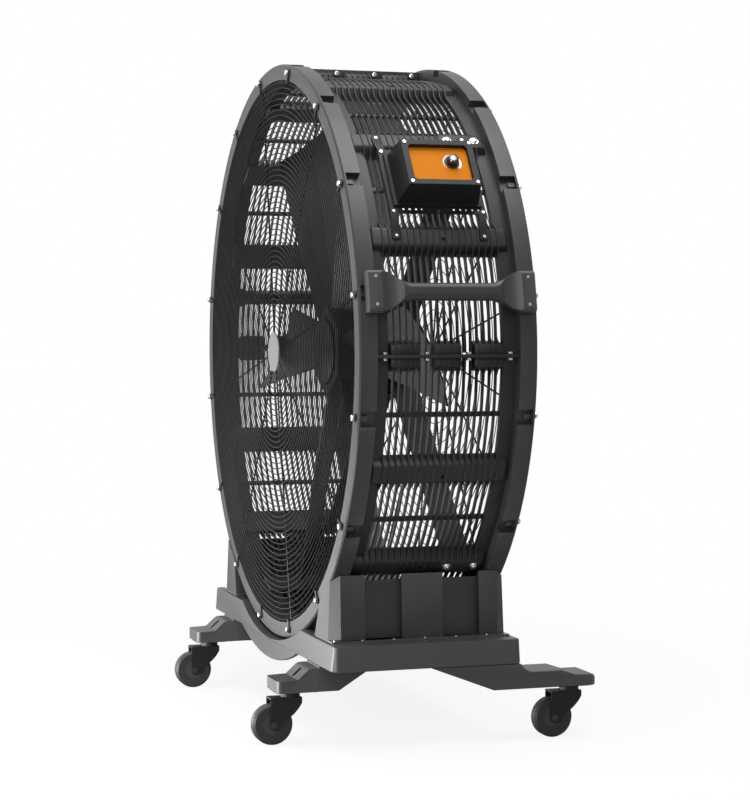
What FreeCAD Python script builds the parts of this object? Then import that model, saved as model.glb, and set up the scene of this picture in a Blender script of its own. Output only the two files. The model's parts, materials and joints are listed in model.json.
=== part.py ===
import FreeCAD, Part
import math
import os

# Portable drum fan on a wheeled base. Millimetres, +Z up, air leaves towards -Y.
# The drum pieces are drawn about the drum's own axis (Y) and lifted to their height when written.

# Fits
seat_gap = 0.3
running_gap = 0.05
press_gap = 0.02
overrun = 5.0

# Drum
drum_radius = 750.0
drum_depth = 442.0
drum_floor_gap = 202.0
axis_height = drum_floor_gap + drum_radius

# Rims
rim_width = 44.0
rim_height = 40.0
rim_bevel = 4.0
bolts_per_rim = 16
pocket_length = 38.0
pocket_depth = 18.0
pocket_front_wall = 7.0
pocket_boss_length = 18.0
pocket_boss_width = 12.0
pocket_boss_height = 7.0

# Cage panels
panels = 4
bars_per_panel = 3
slat_count = 19
slat_pitch = 16.0
slat_thickness = 3.0
slat_depth = 14.0
slat_drop = 30.0
rib_rise = 4.0
bar_rise = 13.0
bar_drop = 7.0
bar_foot = 80.0
bar_crown = 46.0
bar_hip = 5.0
bar_notch_length = 12.0
bar_notch_width = 9.0
slat_ramp = 7.0
thin_bar_width = 12.0
thin_bar_depth = 8.0
web_thickness = 5.0
web_height = 15.0
seam_plate = 4.0
seam_plate_rise = 26.0
seam_bolt_rise = 15.0
seam_pad_half = 36.0
seam_pad_crown = 26.0
seam_bolt_pitch = 104.0
seam_bolts = 4
seam_pad_length = 72.0

# Hexagon bolts and small screw heads
bolt_flats = 13.0
bolt_head = 6.0
washer_radius = 11.0
washer_thickness = 2.0
washer_sides = 12
screw_sides = 8
screw_radius = 4.0
screw_head = 2.0

# Grilles
grille_gap = 4.0
wire = 4.0
wire_pitch = 36.0
rear_wire_pitch = 94.0
wire_sides = 24
grille_spokes = 8
rear_grille_spokes = 16
grille_rise = 5.0
spoke_width = 4.0
spoke_overlap = 1.0
badge_radius = 52.0
badge_thickness = 3.0
clip_radius = 10.0
clip_tail_width = 6.0
clip_thickness = 5.0

# Motor and its carrier
spider_plate_radius = 125.0
spider_plate = 8.0
spider_hole = 50.0
spider_y = 108.0
spider_arm_width = 70.0
spider_arm = 8.0
spider_foot = 8.0
spider_foot_length = 104.0
spider_foot_width = 60.0
spider_bolt_pitch = 70.0
bolt_pad_margin = 20.0
motor_radius = 110.0
motor_length = 78.0
motor_wall = 12.0
motor_front_wall = 22.0
motor_fins = 24
motor_fin = 8.0
motor_fin_width = 5.0
bearing_radius = 26.0
bearing_width = 15.0
bearing_inset = 3.0
stator_thickness = 38.0
stator_margin = 4.0
air_gap = 1.0
rotor_margin = 2.0
cover_radius = 70.0
cover_depth = 24.0
cover_end = 6.0
cover_nose = 40.0
shaft_radius = 15.0

# Fan
blades = 6
hub_apothem = 105.0
hub_length = 92.0
hub_motor_gap = 14.0
hub_recess = 66.0
hub_wall = 18.0
hub_boss = 34.0
cap_radius = 84.0
cap_nose = 30.0
cap_depth = 26.0
tip_gap = 18.0
root_chord = 112.0
tip_chord = 262.0
root_pitch = 40.0
tip_pitch = 24.0
camber_share = 0.07
blade_thickness = 6.0
tip_thickness_share = 0.7
chord_steps = 4
blade_shares = (0.0, 0.5, 1.0)

# Handles
handle_angle = 11.25
handle_length = 412.0
handle_block = 98.0
handle_block_length = 36.0
handle_flare = 66.0
handle_grip = 42.0
handle_depth = 34.0
handle_round = 9.0
grip_round = 16.0
flare_steps = 3
handle_pad = 4.0
handle_screw_pitch = 66.0
pad_margin = 3.0

# Control box
box_angle = 33.75
plate_half_length = 120.0
plate_half_height = 94.0
plate_thickness = 3.0
plate_drop = 8.0
leg_width = 20.0
leg_thickness = 3.0
leg_toe = 8.0
leg_knee = 20.0
leg_knee_top = 18.0
box_flange_length = 220.0
box_flange_height = 152.0
box_flange = 8.0
box_foot_length = 204.0
box_foot_height = 140.0
bezel_length = 178.0
bezel_height = 131.0
bezel_thickness = 4.0
box_rise = 66.0
box_wall = 4.0
window_length = 148.0
window_height = 102.0
window_round = 10.0
sleeve_wall = 3.0
panel_recess = 12.0
panel_thickness = 3.0
panel_margin = 6.0
knob_y = 32.0
knob_t = 8.0
knob_radius = 14.0
knob_skirt_radius = 18.0
knob_skirt = 4.0
knob_height = 18.0
knob_stem = 3.0
pot_radius = 12.0
pot_depth = 14.0
corner_screw_inset = 8.0
vents = 14
vent_length = 6.0
vent_height = 6.0
vent_gap = 2.0
gland_radius = 14.0
gland_length = 22.0
gland_bore = 6.0
gland_collar = 18.0
gland_collar_length = 6.0

# Base
base_width = 1200.0
base_depth = 484.0
base_top = 257.0
base_thickness = 62.0
base_wall = 6.0
base_corner = 12.0
base_draft = 5.0
trough_gap = 5.0
trough_band = 53.0
pedestal_height = 162.0
pedestal_margin = 2.0
pedestal_foot = 133.0
pedestal_depth = 456.0
pedestal_corner = 26.0
pedestal_draft = 6.0
pedestal_lean = 8.0
pedestal_wall_gap = 0.3
pedestal_knee_shares = (0.28, 0.6)
pedestal_shoulder_shares = (0.69, 0.82)
pedestal_flange = 13.0
pedestal_flange_thickness = 5.0
recess_depth = 14.0
recess_drop = 15.0
recess_starts = (-140.0, 60.0)
recess_length = 94.0
pedestal_screw_pitch = 80.0
pedestal_screws = 5
pedestal_screw_shift = 10.0

# Arms
arm_width = 112.0
arm_bottom = 132.0
front_arm_inset = 171.0
foot_length = 104.0
foot_tip = 29.0
hump_back = 24.0
hump_front = 54.0
hump_top = 58.0
hump_round = 22.0
foot_round = 12.0
foot_slot_width = 16.0
foot_slot_length = 26.0
foot_slot_floor = 4.0
front_gusset_low = 51.0
front_gusset_high = 152.0
rear_foot_length = 198.0
rear_top = 42.0
rear_slope_start = 107.0
rear_slope_end = 146.0
rear_fillet = 24.0
rear_edge_round = 7.0
rear_gusset_low = 71.0
rear_gusset_high = 235.0

# Casters
wheel_radius = 50.0
wheel_width = 32.0
trail = 47.0
front_stem_inset = 46.0
rear_stem_inset = 50.0
caster_plate = 4.0
caster_plate_length = 84.0
caster_plate_width = 70.0
pin_radius = 8.0
pin_head_radius = 13.0
pin_head = 7.0
fork_top = 4.0
fork_crown = 16.0
fork_boss = 24.0
cheek = 3.0
cheek_gap = 2.5
leg_front = 8.0
leg_back = 22.0
skirt_rise = 6.0
skirt_reach = 25.0
skirt_depth = 14.0
skirt_bulge_reach = 9.0
skirt_bulge_drop = 36.0
axle_radius = 5.0
axle_head_radius = 8.0
axle_head = 3.0
core_radius = 26.0
core_side = 1.0
core_boss_radius = 11.0
tyre_round = 5.0

# Worked out from the sizes above
half_depth = drum_depth / 2
rim_back = half_depth - rim_width
rim_bore = drum_radius - rim_height
slat_outer = drum_radius - slat_drop
slat_inner = slat_outer - slat_depth
bar_outer = slat_outer + bar_rise
bar_inner = slat_inner - bar_drop
rib_outer = bar_outer + rib_rise
rib_flat = rib_outer * math.cos(bar_crown / 2 / rib_outer)
plate_radius = drum_radius - plate_drop
half_row = (slat_count - 1) * slat_pitch / 2
panel_angle = 360.0 / panels
bar_angle = panel_angle / (bars_per_panel + 1)
base_bottom = base_top - base_thickness
base_front = -base_depth / 2
base_rear = base_depth / 2
front_end = base_front - foot_length
rear_end = base_rear + rear_foot_length
front_stem_y = front_end + front_stem_inset
rear_stem_y = rear_end - rear_stem_inset
rear_arm_x = (base_width - arm_width) / 2
front_arm_x = base_width / 2 - front_arm_inset
front_reach = trail + wheel_radius - front_stem_y
origin_shift = (front_reach - rear_end) / 2

V = FreeCAD.Vector
axis_line = V(0, 1, 0)


def on_drum(shape):
    """Lifts a piece drawn about the drum's axis to its place on the fan."""
    shape.translate(V(0, 0, axis_height))
    return shape


def write(name, solids):
    """Writes one node; the origin lies under the middle of the whole fan."""
    shape = Part.makeCompound(solids) if len(solids) > 1 else solids[0]
    shape.translate(V(0, origin_shift, 0))
    shape.exportStep("parts/" + name + ".step")


def turned(shape, degrees):
    """Copy turned about the drum's axis, from +X towards +Z."""
    copy = shape.copy()
    copy.rotate(V(0, 0, 0), V(0, -1, 0), degrees)
    return copy


def mirrored(shape, normal):
    return shape.mirror(V(0, 0, 0), normal)


def around(shape, count, first=0.0):
    """Copies of a shape spaced evenly about the drum's axis."""
    return [turned(shape, first + i * 360.0 / count) for i in range(count)]


def block(low, high):
    size = high - low
    return Part.makeBox(size.x, size.y, size.z, low)


def outline_xz(points, y_low, y_high):
    """Solid with an outline of (x, z) points between two planes across Y."""
    corners = [V(x, y_low, z) for x, z in points]
    face = Part.Face(Part.makePolygon(corners + corners[:1]))
    return face.extrude(V(0, y_high - y_low, 0))


def outline_yz(points, x_low, x_high):
    """Solid with an outline of (y, z) points between two planes across X."""
    corners = [V(x_low, y, z) for y, z in points]
    face = Part.Face(Part.makePolygon(corners + corners[:1]))
    return face.extrude(V(x_high - x_low, 0, 0))


def spun(points):
    """Solid of revolution about the drum's axis from (radius, y) points."""
    corners = [V(r, y, 0) for r, y in points]
    face = Part.Face(Part.makePolygon(corners + corners[:1]))
    return face.revolve(V(0, 0, 0), axis_line, 360)


def rod(radius, y_low, y_high):
    return Part.makeCylinder(radius, y_high - y_low, V(0, y_low, 0), axis_line)


def polar(radius, degrees):
    angle = math.radians(degrees)
    return radius * math.cos(angle), radius * math.sin(angle)


def prism(radius, sides, height):
    """Flat-sided stud standing on the XY plane."""
    corners = [V(*polar(radius, 360.0 * i / sides), 0) for i in range(sides)]
    return Part.Face(Part.makePolygon(corners + corners[:1])).extrude(V(0, 0, height))


def hexagon(flats, height):
    """Hexagon head standing on the XY plane."""
    return prism(flats / math.sqrt(3), 6, height)


def aimed(shape, foot, direction):
    """Copy of a shape drawn along +Z, moved to a foot point and turned along a direction."""
    copy = shape.copy()
    turn = FreeCAD.Rotation(V(0, 0, 1), direction)
    copy.Placement = FreeCAD.Placement(foot, turn).multiply(copy.Placement)
    return copy


def bolt():
    """Hexagon head on a washer."""
    disc = prism(washer_radius, washer_sides, washer_thickness)
    head = hexagon(bolt_flats, bolt_head)
    head.translate(V(0, 0, washer_thickness))
    return disc.fuse(head)


def screw():
    """Low screw head."""
    return prism(screw_radius, screw_sides, screw_head)


def rounded_plate(length, height, corner, x_low, x_high):
    """Plate across X: length along Y, height along Z, round corners."""
    half = V(0, length / 2, height / 2)
    body = block(V(x_low, 0, 0) - half, V(x_high, 0, 0) + half)
    edges = [e for e in body.Edges if abs(e.Vertexes[0].X - e.Vertexes[-1].X) > seat_gap]
    return body.makeFillet(corner, edges)


def rim():
    """Front rim: a ring with a bevelled front edge, and a pocket with a nut boss at each bolt."""
    front = -half_depth
    ring = spun([
        (drum_radius, -rim_back),
        (drum_radius, front + rim_bevel),
        (drum_radius - rim_bevel, front),
        (rim_bore, front),
        (rim_bore, -rim_back),
    ])
    pocket = block(
        V(drum_radius - pocket_depth, front + pocket_front_wall, -pocket_length / 2),
        V(drum_radius + overrun, -rim_back + overrun, pocket_length / 2),
    )
    floor = drum_radius - pocket_depth
    wall = front + pocket_front_wall
    boss = block(
        V(floor - overrun, wall, -pocket_boss_width / 2),
        V(floor + pocket_boss_height, wall + pocket_boss_length, pocket_boss_width / 2),
    )
    first = 180.0 / bolts_per_rim
    return ring.cut(around(pocket, bolts_per_rim, first)).multiFuse(around(boss, bolts_per_rim, first))


def slat_outline():
    """Edge of one slat: it runs round the panel and rises in a wave over each bar and seam."""
    high = math.degrees(bar_crown / 2 / rib_outer)
    low = math.degrees((bar_foot / 2 + slat_ramp) / slat_outer)
    seam_high = math.degrees(seam_pad_crown / rib_outer)
    seam_low = math.degrees((seam_pad_half + slat_ramp) / slat_outer)
    start = math.degrees(seam_plate / 2 / rib_outer)
    outer = [(rib_outer, start), (rib_outer, seam_high), (slat_outer, seam_low)]
    for i in range(1, bars_per_panel + 1):
        middle = i * bar_angle
        outer += [(slat_outer, middle - bar_angle / 2)]
        outer += [(slat_outer, middle - low), (rib_outer, middle - high)]
        outer += [(rib_outer, middle + high), (slat_outer, middle + low)]
    outer += [(slat_outer, panel_angle - bar_angle / 2)]
    outer += [(slat_outer, panel_angle - seam_low), (rib_outer, panel_angle - seam_high)]
    outer += [(rib_outer, panel_angle - start)]
    steps = 2 * (bars_per_panel + 1)
    inner = [(slat_inner, panel_angle * i / steps) for i in range(1, steps)]
    ends = [(slat_inner, panel_angle - start), (slat_inner, start)]
    return [polar(r, a) for r, a in outer + ends[:1] + inner[::-1] + ends[1:]]


def band_outline(low, high):
    """Flat-sided stretch of ring for one panel."""
    steps = 2 * (bars_per_panel + 1)
    angles = [panel_angle * i / steps for i in range(steps + 1)]
    return [polar(high, a) for a in angles] + [polar(low, a) for a in angles[::-1]]


def seam_bolt_places():
    first = -(seam_bolts - 1) * seam_bolt_pitch / 2
    return [first + i * seam_bolt_pitch for i in range(seam_bolts)]


def panel_end():
    """Closed margin beside the slats and the web that meets the rim."""
    margin = outline_xz(band_outline(slat_inner, slat_outer), half_row, rim_back)
    web = outline_xz(band_outline(slat_inner, slat_inner + web_height), rim_back - web_thickness, rim_back)
    return [margin, web]


def seam_side():
    """Seam plate along X with the pads that stand between its bolts."""
    plate = block(
        V(bar_inner, -rim_back, 0),
        V(slat_outer + seam_plate_rise, rim_back, seam_plate),
    )
    pads = []
    places = seam_bolt_places()
    for low, high in zip(places, places[1:]):
        middle = (low + high) / 2
        profile = [
            (bar_inner, 0),
            (bar_outer, 0),
            (bar_outer, seam_pad_crown),
            (bar_inner, seam_pad_half),
        ]
        pads.append(outline_xz(profile, middle - seam_pad_length / 2, middle + seam_pad_length / 2))
    return [plate] + pads


def cage_panel():
    """Quarter of the cage: slats, wide bars, thin bars, seam plates and closed ends, in one moulding."""
    slat = outline_xz(slat_outline(), -slat_thickness / 2, slat_thickness / 2)
    pieces = []
    for i in range(slat_count):
        copy = slat.copy()
        copy.translate(V(0, -half_row + i * slat_pitch, 0))
        pieces.append(copy)
    end = panel_end()
    pieces += end + [mirrored(p, axis_line) for p in end]
    reach = rim_back - web_thickness / 2
    thin = block(
        V(slat_inner - thin_bar_depth / 2, -reach, -thin_bar_width / 2),
        V(slat_inner + thin_bar_depth / 2, reach, thin_bar_width / 2),
    )
    pieces += [turned(wide_bar(), bar_angle * (i + 1)) for i in range(bars_per_panel)]
    pieces.append(turned(bolt_pad(), panel_angle / 2))
    pieces += [turned(thin, bar_angle * (i + 0.5)) for i in range(bars_per_panel + 1)]
    seam = seam_side()
    far_seam = [turned(mirrored(p, V(0, 0, 1)), panel_angle) for p in seam]
    panel = pieces[0].multiFuse(pieces[1:] + seam + far_seam)
    return panel.cut(seam_bolt_seats() + bar_notches()).removeSplitter()


def wide_bar():
    """Wide bar along Y with sloping sides and hipped ends."""
    foot = 2 * rim_back - web_thickness
    return tapered((foot, bar_foot), (foot - 2 * bar_hip, bar_crown), bar_inner, bar_outer)


def bolt_pad():
    """Smooth pad between the ribs of the middle bar, for the carrier's bolts."""
    places = spider_bolt_places()
    return block(
        V(bar_outer - rib_rise, places[0] - bolt_pad_margin, -bar_crown / 2),
        V(rib_flat, places[1] + bolt_pad_margin, bar_crown / 2),
    )


def bar_notches():
    """Small drain notch in the middle of each wide bar, between two ribs."""
    low = slat_pitch / 2 - bar_notch_width / 2
    notch = block(
        V(bar_outer - bar_drop, low, -bar_crown / 4),
        V(rib_outer + overrun, low + bar_notch_width, -bar_crown / 4 + bar_notch_length),
    )
    return [turned(notch, bar_angle * (i + 1)) for i in range(bars_per_panel)]


def seam_bolt_seats():
    """Cuts that lower the ribs round the seam bolts."""
    seats = []
    gap = (seam_bolt_pitch - seam_pad_length) / 2
    for y in seam_bolt_places():
        seat = block(
            V(slat_outer, max(y - gap, -half_row - slat_pitch / 2), seam_plate),
            V(rib_outer + overrun, min(y + gap, half_row + slat_pitch / 2), seam_pad_half + slat_ramp),
        )
        seats += [seat, turned(mirrored(seat, V(0, 0, 1)), panel_angle)]
    return seats


def spider_bolt_places():
    return [spider_y - spider_bolt_pitch / 2, spider_y + spider_bolt_pitch / 2]


def seam_bolt_group():
    """Bolt heads on one side of each seam and nuts on the other."""
    radius = slat_outer + seam_bolt_rise
    solids = []
    for y in seam_bolt_places():
        for side in (1, -1):
            head = aimed(hexagon(bolt_flats, bolt_head), V(radius, y, side * seam_plate), V(0, 0, side))
            solids += around(head, panels)
    return solids


def wire_ring(radius, y_front):
    """Flat-sided wire ring lying across the drum's axis."""
    def loop(size):
        corners = [polar(size, 360.0 * i / wire_sides) for i in range(wire_sides + 1)]
        return Part.makePolygon([V(x, y_front, z) for x, z in corners])
    outer, inner = Part.Face(loop(radius + wire / 2)), Part.Face(loop(radius - wire / 2))
    return outer.cut(inner).extrude(V(0, wire, 0))


def grille(pitch, spokes):
    """Wire grille: rings on a shallow cone, carried by spokes welded behind them."""
    outer = rim_bore - grille_gap - wire / 2
    slope = grille_rise / outer
    count = int((outer - badge_radius) / pitch) + 1
    pieces = []
    for i in range(count):
        radius = outer - i * pitch
        pieces.append(wire_ring(radius, -half_depth - (outer - radius) * slope))
    inner = outer - (count - 1) * pitch
    start = V(inner, -half_depth - (outer - inner) * slope + wire - spoke_overlap, 0)
    stop = V(outer, -half_depth + wire - spoke_overlap, 0)
    half = V(0, 0, spoke_width / 2)
    back = V(0, spoke_width, 0)
    corners = [start - half, stop - half, stop - half + back, start - half + back]
    face = Part.Face(Part.makePolygon(corners + corners[:1]))
    spoke = face.extrude(half * 2)
    pieces += around(spoke, spokes, 180.0 / bolts_per_rim)
    hub_y = start.y
    hub = rod(badge_radius, hub_y, hub_y + spoke_width)
    bar = block(V(0, hub_y, -spoke_width / 2), V(inner, hub_y + spoke_width, spoke_width / 2))
    pieces += [hub] + around(bar, spokes, 180.0 / bolts_per_rim)
    return pieces[0].multiFuse(pieces[1:])


def badge():
    """Bare disc on the middle of the front grille."""
    outer = rim_bore - grille_gap - wire / 2
    count = int((outer - badge_radius) / wire_pitch) + 1
    inner = outer - (count - 1) * wire_pitch
    y = -half_depth - (outer - inner) * grille_rise / outer + wire - spoke_overlap
    return rod(badge_radius, y - badge_thickness, y)


def clip():
    """Keyhole clip on the rim's flange, its tail over the grille's outer wire."""
    middle = drum_radius - rim_height / 2
    tail = rim_bore - grille_gap - wire
    y = -half_depth
    head = aimed(prism(clip_radius, screw_sides, clip_thickness), V(middle, y, 0), V(0, -1, 0))
    bar = block(V(tail, y - clip_thickness, -clip_tail_width / 2), V(middle, y, clip_tail_width / 2))
    return head.fuse(bar)


def clip_bolt():
    middle = drum_radius - rim_height / 2
    foot = V(middle, -half_depth - clip_thickness, 0)
    return aimed(hexagon(bolt_flats, bolt_head), foot, V(0, -1, 0))


def rim_pair(shape):
    """A front piece repeated at every rim bolt, front and rear."""
    front = around(shape, bolts_per_rim, 180.0 / bolts_per_rim)
    return front + [mirrored(s, axis_line) for s in front]


def spider():
    """Motor carrier: a disc with four flat arms, each ending in a foot under a cage bar."""
    low = spider_y - spider_plate / 2
    plate = rod(spider_plate_radius, low, low + spider_plate)
    arm = block(
        V(motor_radius + motor_fin + overrun, spider_y - spider_arm_width / 2, -spider_arm / 2),
        V(bar_inner - spider_foot / 2, spider_y + spider_arm_width / 2, spider_arm / 2),
    )
    foot = block(
        V(bar_inner - spider_foot, spider_y - spider_foot_length / 2, -spider_foot_width / 2),
        V(bar_inner, spider_y + spider_foot_length / 2, spider_foot_width / 2),
    )
    limbs = around(arm, panels, panel_angle / 2) + around(foot, panels, panel_angle / 2)
    hole = rod(spider_hole, low - overrun, low + spider_plate + overrun)
    return plate.multiFuse(limbs).cut(hole)


def spider_bolt_group():
    solids = []
    for y in spider_bolt_places():
        solids += around(aimed(bolt(), V(rib_flat, y, 0), V(1, 0, 0)), panels, panel_angle / 2)
    return solids


def motor_places():
    """Front and rear face of the motor body along the axis."""
    rear = spider_y - spider_plate / 2
    return rear - motor_length, rear


def motor_housing():
    """Cup with cooling fins and a bearing seat in its front wall."""
    front, rear = motor_places()
    seat = bearing_radius + press_gap
    body = spun([
        (seat, front),
        (motor_radius, front),
        (motor_radius, rear),
        (motor_radius - motor_wall, rear),
        (motor_radius - motor_wall, front + motor_front_wall),
        (seat, front + motor_front_wall),
    ])
    fin = block(
        V(motor_radius - motor_wall / 2, front, -motor_fin_width / 2),
        V(motor_radius + motor_fin, rear, motor_fin_width / 2),
    )
    return body.multiFuse(around(fin, motor_fins))


def motor_cover():
    """Rear end cover with the second bearing seat."""
    start = spider_y + spider_plate / 2
    seat = bearing_radius + press_gap
    return spun([
        (seat, start),
        (cover_radius, start),
        (cover_radius, start + cover_depth / 2),
        (cover_nose, start + cover_depth),
        (0, start + cover_depth),
        (0, start + cover_depth - cover_end),
        (seat, start + cover_depth - cover_end),
    ])


def bearing(front):
    """Bearing ring whose bore runs on the shaft."""
    outer = rod(bearing_radius, front, front + bearing_width)
    return outer.cut(rod(shaft_radius + running_gap, front - overrun, front + bearing_width + overrun))


def stator():
    front, rear = motor_places()
    outer = motor_radius - motor_wall - press_gap
    low = front + motor_front_wall + stator_margin
    high = rear - stator_margin
    return rod(outer, low, high).cut(rod(outer - stator_thickness, low - overrun, high + overrun))


def rotor():
    front, rear = motor_places()
    outer = motor_radius - motor_wall - press_gap - stator_thickness - air_gap
    low = front + motor_front_wall + stator_margin + rotor_margin
    high = rear - stator_margin - rotor_margin
    return rod(outer, low, high).cut(rod(shaft_radius, low - overrun, high + overrun))


def shaft():
    hub_front, hub_rear = hub_places()
    rear = spider_y + spider_plate / 2 + bearing_inset + bearing_width
    return rod(shaft_radius, hub_front + hub_recess / 2, rear)


def hub_places():
    front, rear = motor_places()
    return front - hub_motor_gap - hub_length, front - hub_motor_gap


def hub():
    """Six-sided hub, hollow in front round a boss, with a flat for each blade root."""
    low, high = hub_places()
    radius = hub_apothem / math.cos(math.pi / blades)
    corners = [polar(radius, 360.0 * (i + 0.5) / blades) for i in range(blades)]
    body = outline_xz(corners, low, high)
    recess = spun([
        (hub_boss, low - overrun),
        (hub_apothem - hub_wall, low - overrun),
        (hub_apothem - hub_wall, low + hub_recess),
        (hub_boss, low + hub_recess),
    ])
    return body.cut(recess).cut(rod(shaft_radius, low - overrun, high + overrun))


def hub_cap():
    """Nose cap seated in the front of the hub."""
    low, high = hub_places()
    return spun([
        (0, low),
        (cap_radius, low),
        (cap_radius, low - cap_depth / 4),
        (cap_nose, low - cap_depth),
        (0, low - cap_depth),
    ])


def blade_section(share):
    """Thin cambered section at a share of the span: pitch eases and chord grows towards the tip."""
    low, high = hub_places()
    radius = hub_apothem + (bar_inner - tip_gap - hub_apothem) * share
    chord = root_chord + (tip_chord - root_chord) * share
    pitch = math.radians(root_pitch + (tip_pitch - root_pitch) * share)
    half = blade_thickness / 2 * (1 - (1 - tip_thickness_share) * share)
    along = V(0, math.sin(pitch), -math.cos(pitch))
    across = V(0, math.cos(pitch), math.sin(pitch))
    centre = V(radius, (low + high) / 2, 0)
    line = []
    for i in range(chord_steps + 1):
        place = i / chord_steps - 0.5
        bow = chord * camber_share * (1 - 4 * place ** 2)
        line.append(centre + along * (chord * place) + across * bow)
    upper = [p + across * half for p in line]
    lower = [p - across * half for p in line[::-1]]
    return Part.makePolygon(upper + lower + upper[:1])


def blade():
    """Twisted blade from the hub's flat to just inside the cage."""
    return Part.makeLoft([blade_section(share) for share in blade_shares], True, True)


def handle_section(y, height, corner):
    """Round-cornered outline across the handle at a place along it."""
    low = drum_radius + handle_pad
    high = low + handle_depth
    plate = rounded_section(low, high, height, corner)
    plate.translate(V(0, y, 0))
    return plate


def rounded_section(x_low, x_high, height, corner):
    """Rounded rectangle in the XZ plane, as a wire of four lines and four arcs."""
    half = height / 2
    bend = corner * (1 - math.sqrt(0.5))
    edges = []
    ends = [(x_high, half, -1, -1), (x_low, half, 1, -1), (x_low, -half, 1, 1), (x_high, -half, -1, 1)]
    for i, (x, z, sx, sz) in enumerate(ends):
        before, after = V(x, 0, z + sz * corner), V(x + sx * corner, 0, z)
        if i % 2:
            before, after = after, before
        middle = V(x + sx * bend, 0, z + sz * bend)
        edges.append(Part.Arc(before, middle, after).toShape())
    joined = []
    for i, arc in enumerate(edges):
        following = edges[(i + 1) % len(edges)]
        joined += [arc, Part.makeLine(arc.lastVertex().Point, following.firstVertex().Point)]
    return Part.Wire(joined)


def handle():
    """Handle across both rims: two tall blocks that flare in a smooth curve into a round grip."""
    end = handle_length / 2
    block_start = end - handle_block_length
    sections = [(end, handle_block, handle_round)]
    for i in range(flare_steps + 1):
        share = i / flare_steps
        ease = share * share * (3 - 2 * share)
        height = handle_block + (handle_grip - handle_block) * ease
        corner = handle_round + (grip_round - handle_round) * ease
        sections.append((block_start - handle_flare * share, height, corner))
    sections += [(-y, height, corner) for y, height, corner in sections[::-1]]
    return Part.makeLoft([handle_section(*section) for section in sections], True, True)


def handle_pad_pair():
    """Pads shaped to the rims under the handle's end blocks."""
    height = handle_block / 2 - pad_margin
    outer = handle_length / 2 - pad_margin
    inner = handle_length / 2 - handle_block_length
    sag = drum_radius - math.sqrt(drum_radius ** 2 - height ** 2)
    solid = block(V(drum_radius - sag, inner, -height), V(drum_radius + handle_pad, outer, height))
    pad = solid.cut(rod(drum_radius, -drum_depth, drum_depth))
    return [pad, mirrored(pad, axis_line)]


def handle_screw_set():
    top = drum_radius + handle_pad + handle_depth
    y = handle_length / 2 - handle_block_length / 2
    places = [(sy * y, sz * handle_screw_pitch / 2) for sy in (1, -1) for sz in (1, -1)]
    return [aimed(screw(), V(top, py, pz), V(1, 0, 0)) for py, pz in places]


def tapered(low_size, high_size, x_low, x_high):
    """Four-sided body along X between two rectangles of (length, height)."""
    wires = []
    for (length, height), x in ((low_size, x_low), (high_size, x_high)):
        corners = [(-1, -1), (1, -1), (1, 1), (-1, 1), (-1, -1)]
        wires.append(Part.makePolygon([V(x, a * length / 2, b * height / 2) for a, b in corners]))
    return Part.makeLoft(wires, True, True)


def box_levels():
    """Radii of the plate's face, the box's flange and its bezel."""
    plate = plate_radius + plate_thickness
    flange = plate + box_flange
    return plate, flange, flange + box_rise


def on_bar(x, t):
    """Point given on the bar next to the control box, in the box's own frame."""
    angle = math.radians(bar_angle / 2)
    return x * math.cos(angle) - t * math.sin(angle), x * math.sin(angle) + t * math.cos(angle)


def control_bracket():
    """Mounting plate over the slats with a leg to the bar above and the bar below."""
    plate = block(
        V(plate_radius, -plate_half_length, -plate_half_height),
        V(plate_radius + plate_thickness, plate_half_length, plate_half_height),
    )
    top = rib_flat + leg_thickness
    toes = [(top, -leg_knee_top), (top, leg_toe), (rib_flat, leg_toe), (rib_flat, -leg_knee)]
    ends = [(plate_radius, plate_half_height), (plate_radius + plate_thickness, plate_half_height)]
    outline = ends + [on_bar(x, t) for x, t in toes]
    pieces = []
    for y in (-plate_half_length, plate_half_length - leg_width):
        leg = outline_xz(outline, y, y + leg_width)
        pieces += [leg, mirrored(leg, V(0, 0, 1))]
    return plate.multiFuse(pieces).cut(vent_slots())


def vent_slots():
    """Row of small slots in the plate below the box."""
    top = -box_flange_height / 2 - vent_gap
    pitch = box_flange_length / vents
    slots = []
    for i in range(vents):
        y = (i + 0.5) * pitch - box_flange_length / 2
        slots.append(block(
            V(plate_radius - overrun, y - vent_length / 2, top - vent_height),
            V(plate_radius + plate_thickness + overrun, y + vent_length / 2, top),
        ))
    return slots


def control_box():
    """Tapered housing with a base flange, hollow behind the bezel."""
    plate, flange, top = box_levels()
    base = tapered(
        (box_flange_length, box_flange_height), (box_flange_length, box_flange_height), plate, flange
    )
    body = tapered((box_foot_length, box_foot_height), (bezel_length, bezel_height), flange, top)
    inner = 2 * box_wall
    hollow = tapered(
        (box_foot_length - inner, box_foot_height - inner),
        (bezel_length - inner, bezel_height - inner),
        flange,
        top,
    )
    foot, direction = gland_place()
    lead_hole = Part.makeCylinder(gland_bore, 2 * gland_length, foot - direction * gland_length, direction)
    return base.fuse(body).cut([hollow, lead_hole])


def control_bezel():
    """Frame on the housing with a round-cornered window, sleeved down to the face plate."""
    top = box_levels()[2]
    frame = tapered((bezel_length, bezel_height), (bezel_length, bezel_height), top, top + bezel_thickness)
    low = panel_level() + panel_thickness
    sleeve = rounded_plate(
        window_length + 2 * sleeve_wall, window_height + 2 * sleeve_wall, window_round, low, top
    )
    window = rounded_plate(
        window_length, window_height, window_round, low - overrun, top + bezel_thickness + overrun
    )
    return frame.fuse(sleeve).cut(window)


def panel_level():
    return box_levels()[2] - panel_recess


def control_panel():
    """Bare face plate inside the window, with a hole for the knob's stem."""
    level = panel_level()
    length = bezel_length - 2 * box_wall - panel_margin
    height = bezel_height - 2 * box_wall - panel_margin
    plate = rounded_plate(length, height, window_round, level, level + panel_thickness)
    hole = Part.makeCylinder(
        knob_stem + seat_gap, panel_thickness + 2 * overrun, V(level - overrun, knob_y, knob_t), V(1, 0, 0)
    )
    return plate.cut(hole)


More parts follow.
